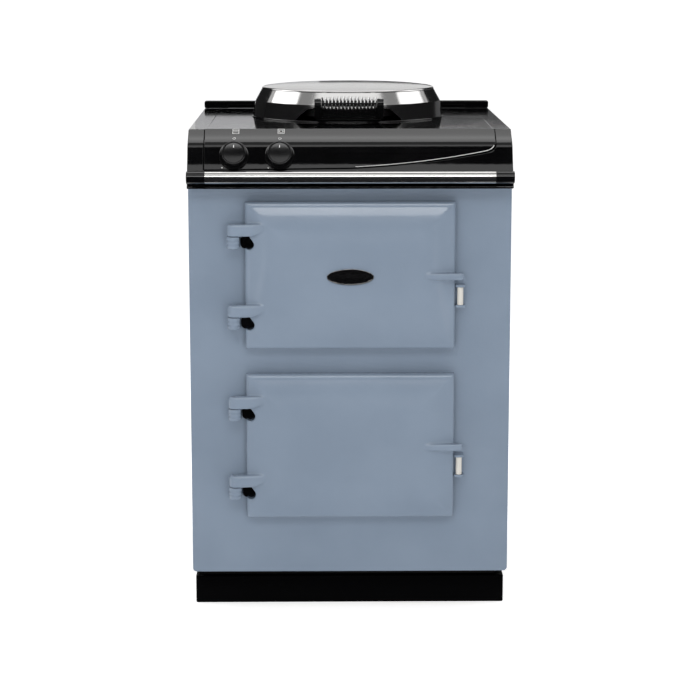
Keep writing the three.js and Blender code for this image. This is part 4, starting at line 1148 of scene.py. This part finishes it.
@dataclass
class Mark:
    """A printed mark: strokes in millimetres about its place, measured down the panel from its top edge."""

    name: str
    x: float
    down: float
    strokes: tuple[tuple[Flat, ...], ...]
    width: float = 0.8

    def build(self, fascia: Fascia) -> Piece:
        """Lays the strokes on the panel's curve, a tenth of a millimetre proud."""
        points: list[Point] = []
        faces: list[tuple[int, ...]] = []
        for stroke in self.strokes:
            for (x0, z0), (x1, z1) in zip(stroke, stroke[1:]):
                run = Vector((x1 - x0, z1 - z0)).normalized() * self.width / 2
                side = Vector((-run.y, run.x))
                base = len(points)
                for cx, cz in ((x0 - run.x + side.x, z0 - run.y + side.y), (x0 - run.x - side.x, z0 - run.y - side.y),
                               (x1 + run.x - side.x, z1 + run.y - side.y), (x1 + run.x + side.x, z1 + run.y + side.y)):
                    points.append((self.x + cx, *fascia.down(self.down - cz, 1.6)))
                faces.append((base, base + 1, base + 2, base + 3))
        return dress_beside(mesh_object(self.name, points, faces), PRINT_AND_HIGHLIGHT_WHITE, "control_panel")


def ellipse(x: float, z: float, across: float, up: float, steps: int = 20) -> tuple[Flat, ...]:
    """A closed ring of points."""
    return tuple((x + across * math.cos(2 * math.pi * i / steps), z + up * math.sin(2 * math.pi * i / steps))
                 for i in range(steps + 1))


@dataclass
class Control:
    """A knob on its shaft with the switch behind the fascia, and the marks printed round it."""

    name: str
    fascia: Fascia
    skirt: float = 27.0
    body: float = 23.0
    height: float = 16.0
    axis: Vector = field(init=False)
    seat: Vector = field(init=False)
    node: str = field(init=False)

    def __post_init__(self) -> None:
        """Reads the knob's place and axis from its packed joint."""
        joint = next(j for j in frame["record"]["behaviour"]["joints"] if j["name"] == f"{self.name}_knob_turn")
        self.axis = -Vector(joint["axis"]).normalized()
        self.seat = millimetres(joint["pos_m"])
        self.node = f"{self.name}_control_knob"

    def place(self) -> Matrix:
        """The matrix that stands a turned profile on the panel, facing outwards."""
        return Matrix.Translation(self.seat) @ self.axis.to_track_quat("Z", "Y").to_matrix().to_4x4()

    def shaft_hole(self) -> Piece:
        """The hole the shaft passes through."""
        return turned("hole", [(0, -60), (4.5, -60), (4.5, 30), (0, 30)], self.place(), 32)

    def build(self) -> None:
        """Makes the knob, its index line and its switch."""
        profile = [(0, 14), (3.9, 14), (3.9, 1.5), (self.skirt - 0.6, 1.5)]
        profile += arc(self.skirt - 1.4, 2.9, 1.4, -60, 80, 5)
        profile += [(self.body + 2.2, 5.4), (self.body + 0.6, 7.0), (self.body + 0.1, 9.0)]
        profile += arc(self.body - 2.2, self.height - 2.2, 2.2, 0, 90, 7)
        profile += [(self.body - 5.5, self.height), (self.body - 7.0, self.height - 0.7), (0, self.height - 1.0)]
        knob = turned(f"{self.name}_knob_moulded", profile, self.place(), 96)
        dress_as(knob, BLACK_PLASTIC, self.node, 40)
        line = box_mesh((-0.7, self.body * 0.45, self.height - 1.0), (0.7, self.body - 7.6, self.height - 0.55))
        for vertex in line.data.vertices:
            vertex.co = metres(*(self.place() @ millimetres(vertex.co)))
        line.name = f"{self.name}_knob_index"
        dress_beside(line, PRINT_AND_HIGHLIGHT_WHITE, self.node)
        edged(f"{self.name}_control_switch", BLACK_PLASTIC, 0.8, 2)


# ---- Top plate, rail and upstand --------------------------------------------------------------
@dataclass
class Hob:
    """The top plate with its seat ring, the hotplate and its element, the rail and the upstand."""

    centre_y: float = 380.0
    top: float = 914.0
    plate_half: float = 264.2
    plate_front: float = 40.3
    plate_back: float = 593.7
    lip_half: float = 250.0
    steps: int = 128

    def build(self) -> None:
        """Makes each piece from its own section."""
        self._plate()
        self._hotplate()
        rail = span("handrail")
        tube = [(0, 0), (11.35, 0), (11.35, 0.6), (11.35, rail.size.x - 0.6), (11.35, rail.size.x), (0, rail.size.x)]
        lying = Matrix.Translation((rail.low.x, rail.middle.y, rail.middle.z)) @ Matrix.Rotation(math.pi / 2, 4, "Y")
        dress_as(turned("handrail_tube", tube, lying, 64), RAIL_STEEL, "handrail", 40)
        for side in ("left", "right"):
            edged(f"handrail_bracket_{side}", BLACK_ENAMEL, 0.8, 3)
        edged("rear_upstand", BLACK_ENAMEL, 1.6, 4)
        rear = span("rear_upstand")
        y, z = rear.middle.y, rear.low.z
        lip = box_mesh((-self.lip_half, y, z), (self.lip_half, y + 1.2, z + 9))
        lip.name = "upstand_lip"
        dress_beside(lip, BLACK_ENAMEL, "rear_upstand")

    def _at(self) -> Matrix:
        """The hotplate's axis."""
        return Matrix.Translation((0, self.centre_y, 0))

    def _plate(self) -> None:
        """The enamelled top plate, its front edge rolled and its seat ring raised."""
        top, low = self.top, self.top - 6
        section = [(self.plate_front, low), (self.plate_back, low), (self.plate_back, top), (self.plate_front + 4, top)]
        section += arc(self.plate_front + 4, top - 4, 4, 95, 180, 7)
        plate = prism("top_plate_cast", section, -self.plate_half, self.plate_half, "X")
        hole = turned("hole", [(0, top - 20), (179, top - 20), (179, top + 20), (0, top + 20)], self._at(), self.steps)
        combined(plate, hole)
        ring = [(175, low), (192, low), (192, top + 0.6)] + arc(190.6, top + 1.1, 1.4, 0, 90, 5)
        ring += arc(176.4, top + 1.1, 1.4, 90, 180, 5)
        combined(plate, turned("ring", ring, self._at(), self.steps), "UNION")
        dress_as(bevelled(faced_out(plate), 0.6, 2, 60), BLACK_ENAMEL, "top_plate", 40)

    def _hotplate(self) -> None:
        """The machined hotplate and the ring element under it."""
        top, seat = self.top, self.top - 6.3
        profile = [(0, seat - 22), (170, seat - 22), (172, seat - 20), (172, seat - 10), (185, seat - 10),
                   (186, seat - 9), (186, seat - 0.8), (185.2, seat), (172, seat)]
        profile += arc(170.4, top - 0.6, 1.6, 0, 90, 6) + [(60, top + 1), (0, top + 1)]
        dress_as(turned("hotplate_turned", profile, self._at(), self.steps), HOTPLATE_IRON, "hotplate", 40)
        edged("hotplate_element", HEATER, 1.2, 3)


# ---- Lid --------------------------------------------------------------------------------------
@dataclass
class Lid:
    """The chromed lid with its arch, liner, spring handle and hinge."""

    centre_y: float = 380.0
    low: float = 916.8
    wall: float = 3.0
    rim: float = 190.0
    height: float = 63.0
    handle_y: float = 164.0
    steps: int = 160

    def _profile(self) -> list[Flat]:
        """The outside from the rim to the middle: three facets that meet in tight crisp turns."""
        skirt = [(self.rim, 0.0), (189.7, 1.6), (184.3, 29.6)]
        chamfer = [(183.9, 30.6), (183.2, 31.6), (171.6, 52.8)] + arc(166.4, 51.2, 6.0, 28, 76, 6)
        crown = [(150, 59.2), (118.3, 61.0), (85, 62.0), (50.7, 62.6), (22, 62.9), (0, self.height)]
        return skirt + chamfer + crown

    def build(self) -> None:
        """Makes the shell and what it carries."""
        outer = self._profile()
        inner = [(max(r - self.wall, 0), h - self.wall) for r, h in outer if h > 12][::-1]
        ring = [(0, self.height - self.wall)] + inner[1:] + [(self.rim - self.wall, 0)] + outer
        place = Matrix.Translation((0, self.centre_y, self.low))
        shell = turned("lid_shell_spun", ring, place, self.steps)
        arch = [(102.0, -2.0), (101.0, 3.0), (91.0, 12.5), (79.0, 21.5)] + arc(60.0, 15.8, 12.0, 35, 90, 6)
        arch = [(x, z + self.low) for x, z in arch + [(-x, z) for x, z in reversed(arch)]]
        combined(shell, prism("arch", arch, self.centre_y - 195, self.centre_y - 95, "Y"))
        dress_as(bevelled(faced_out(shell), 0.5, 2, 55), LID_CHROME, "lid_shell", 22)
        edged("lid_liner", LINER_STEEL, 1.0, 2, 50)
        edged("lid_handle_bracket", BLACK_PLASTIC, 1.6, 4)
        for side in ("left", "right"):
            edged(f"lid_handle_post_{side}", BLACK_PLASTIC, 1.2, 4, 40)
        self._caps()
        self._coil()
        edged("lid_handle_rod", BLACK_PLASTIC, 0.5, 2, 50)
        edged("lid_hinge_arm", CAST_IRON, 1.2, 3, 40)
        edged("lid_hinge_pin", RAIL_STEEL, 0.7, 3, 50)
        edged("lid_hinge_bracket", CAST_IRON, 1.2, 3, 40)

    def _caps(self) -> None:
        """Small bright caps let into the tops of the two posts."""
        for side in ("left", "right"):
            post = span(f"lid_handle_post_{side}")
            x = post.middle.x
            outline = rounded(x - 4.6, x + 4.6, self.handle_y - 4.6, self.handle_y + 4.6, 1.2, 4)
            cap = prism(f"lid_handle_cap_{side}", outline, post.high.z - 1.2, post.high.z + 0.5, "Z")
            bevelled(cap, 0.4, 3, 40)
            dress_beside(cap, BRIGHT_CHROME, "lid_handle_coil")

    def _coil(self) -> None:
        """The open spring that keeps the hand off the hot handle."""
        coil = span("lid_handle_coil")
        wire = 1.6
        made = grown("lid_handle_coil_wound", coil_tree(BRIGHT_CHROME), {
            "Turns": 15.0, "Length": (coil.size.x - 2 * wire) * MM, "End radius": 10 * MM, "Bulge": 2 * MM,
            "Wire radius": wire * MM, "Middle": metres(*coil.middle)})
        dress_as(faced_out(made), BRIGHT_CHROME, "lid_handle_coil", 70)


@dataclass
class Badge:
    """The bare oval plate on the upper door: a polished rim round a sunk black face."""

    rim: float = 2.2

    def build(self) -> None:
        """Makes the rim and the face let into it."""
        box = span("upper_door_badge_plate")
        x, z, half, up = box.middle.x, box.middle.z, box.size.x / 2, box.size.z / 2
        ring = prism("badge_rim", ellipse(x, z, half, up, 96)[:-1], box.low.y, box.high.y, "Y")
        hollow = ellipse(x, z, half - self.rim, up - self.rim, 96)[:-1]
        combined(ring, prism("hollow", hollow, box.low.y - 1, box.low.y + 1.0, "Y"))
        dress_as(bevelled(faced_out(ring), 0.55, 3, 50), BRIGHT_CHROME, "upper_door_badge_plate", 45)
        face = prism("badge_face", ellipse(x, z, half - self.rim - 0.05, up - self.rim - 0.05, 96)[:-1],
                     box.low.y + 0.55, box.low.y + 1.3, "Y")
        dress_beside(face, BLACK_ENAMEL, "upper_door_badge_plate")


# ---- Ovens ------------------------------------------------------------------------------------
@dataclass
class Oven:
    """One oven: its enamelled box, wire shelf and heating element."""

    level: str
    wire_mm: float = 2.6
    bars: int = 19

    def build(self) -> None:
        """Makes the box, the shelf and the element."""
        edged(f"{self.level}_oven_box", GREY_ENAMEL, 1.2, 2)
        self._shelf()
        dress_as(cad_copy(f"{self.level}_oven_element"), HEATER, f"{self.level}_oven_element", 60)

    def _shelf(self) -> None:
        """A wire shelf: a round frame, bars front to back and two cross bars under them."""
        box = span(f"{self.level}_oven_shelf")
        r = self.wire_mm
        z = box.high.z - r
        loop = rounded(box.low.x + r, box.high.x - r, box.low.y + r, box.high.y - r, 9, 8)
        frame_wire = swept(f"{self.level}_oven_shelf_wire", [Vector((x, y, z)) for x, y in loop], r, 16, True)
        gap = (box.size.x - 2 * r) / (self.bars + 1)
        long_bars = grown("bars", row_tree(SHELF_STEEL), {
            "From": metres(box.low.x + r + gap, box.low.y + r, z), "To": metres(box.low.x + r + gap, box.high.y - r, z),
            "Step": (gap * MM, 0, 0), "Count": self.bars, "Radius": 1.6 * MM})
        cross = box.size.y / 3
        cross_bars = grown("bars", row_tree(SHELF_STEEL), {
            "From": metres(box.low.x + r, box.low.y + cross, z - 2.6),
            "To": metres(box.high.x - r, box.low.y + cross, z - 2.6),
            "Step": (0, cross * MM, 0), "Count": 2, "Radius": 1.6 * MM})
        whole = joined([frame_wire, long_bars, cross_bars])
        dress_as(whole, SHELF_STEEL, f"{self.level}_oven_shelf", 50)


SQUARE = ((-5.6, -6.4), (5.6, -6.4), (5.6, 6.4), (-5.6, 6.4), (-5.6, -6.4))
ZERO = ellipse(0, 0, 2.3, 3.4)
DOT = ellipse(0, 0, 0.6, 0.6, 8)
PANEL_MARKS = (
    Mark("oven_pictogram", -210.5, 8.6, (SQUARE, ((-5.6, 2.6), (5.6, 2.6)), ((-3.2, -1.4), (3.2, -1.4))), 1.1),
    Mark("hotplate_pictogram", -127.0, 8.6, (SQUARE, ellipse(0, 0, 3.2, 3.8)), 1.1),
    Mark("oven_zero_mark", -213.0, 31.5, (ZERO,), 0.9),
    Mark("hotplate_zero_mark", -129.0, 31.5, (ZERO,), 0.9),
    Mark("oven_start_dot", -234.3, 94.5, (DOT,), 1.2),
    Mark("hotplate_start_dot", -149.8, 94.8, (DOT,), 1.2),
)


def main() -> None:
    """Builds every sub-assembly in order."""
    logging.basicConfig(level=logging.INFO, format="%(message)s")
    Studio().build()
    BodyShell().build()
    for level in ("upper", "lower"):
        Oven(level).build()
        OvenDoor(f"{level}_door").build()
    Badge().build()
    edged("oven_insulation_board", FIBRE_BOARD, 3.0, 2)
    fascia = Fascia()
    controls = [Control(name, fascia) for name in ("oven", "hotplate")]
    TopHousing(fascia).build([control.shaft_hole() for control in controls])
    for control in controls:
        control.build()
    for mark in PANEL_MARKS:
        mark.build(fascia)
    Hob().build()
    Lid().build()


if __name__ == "__main__":
    main()
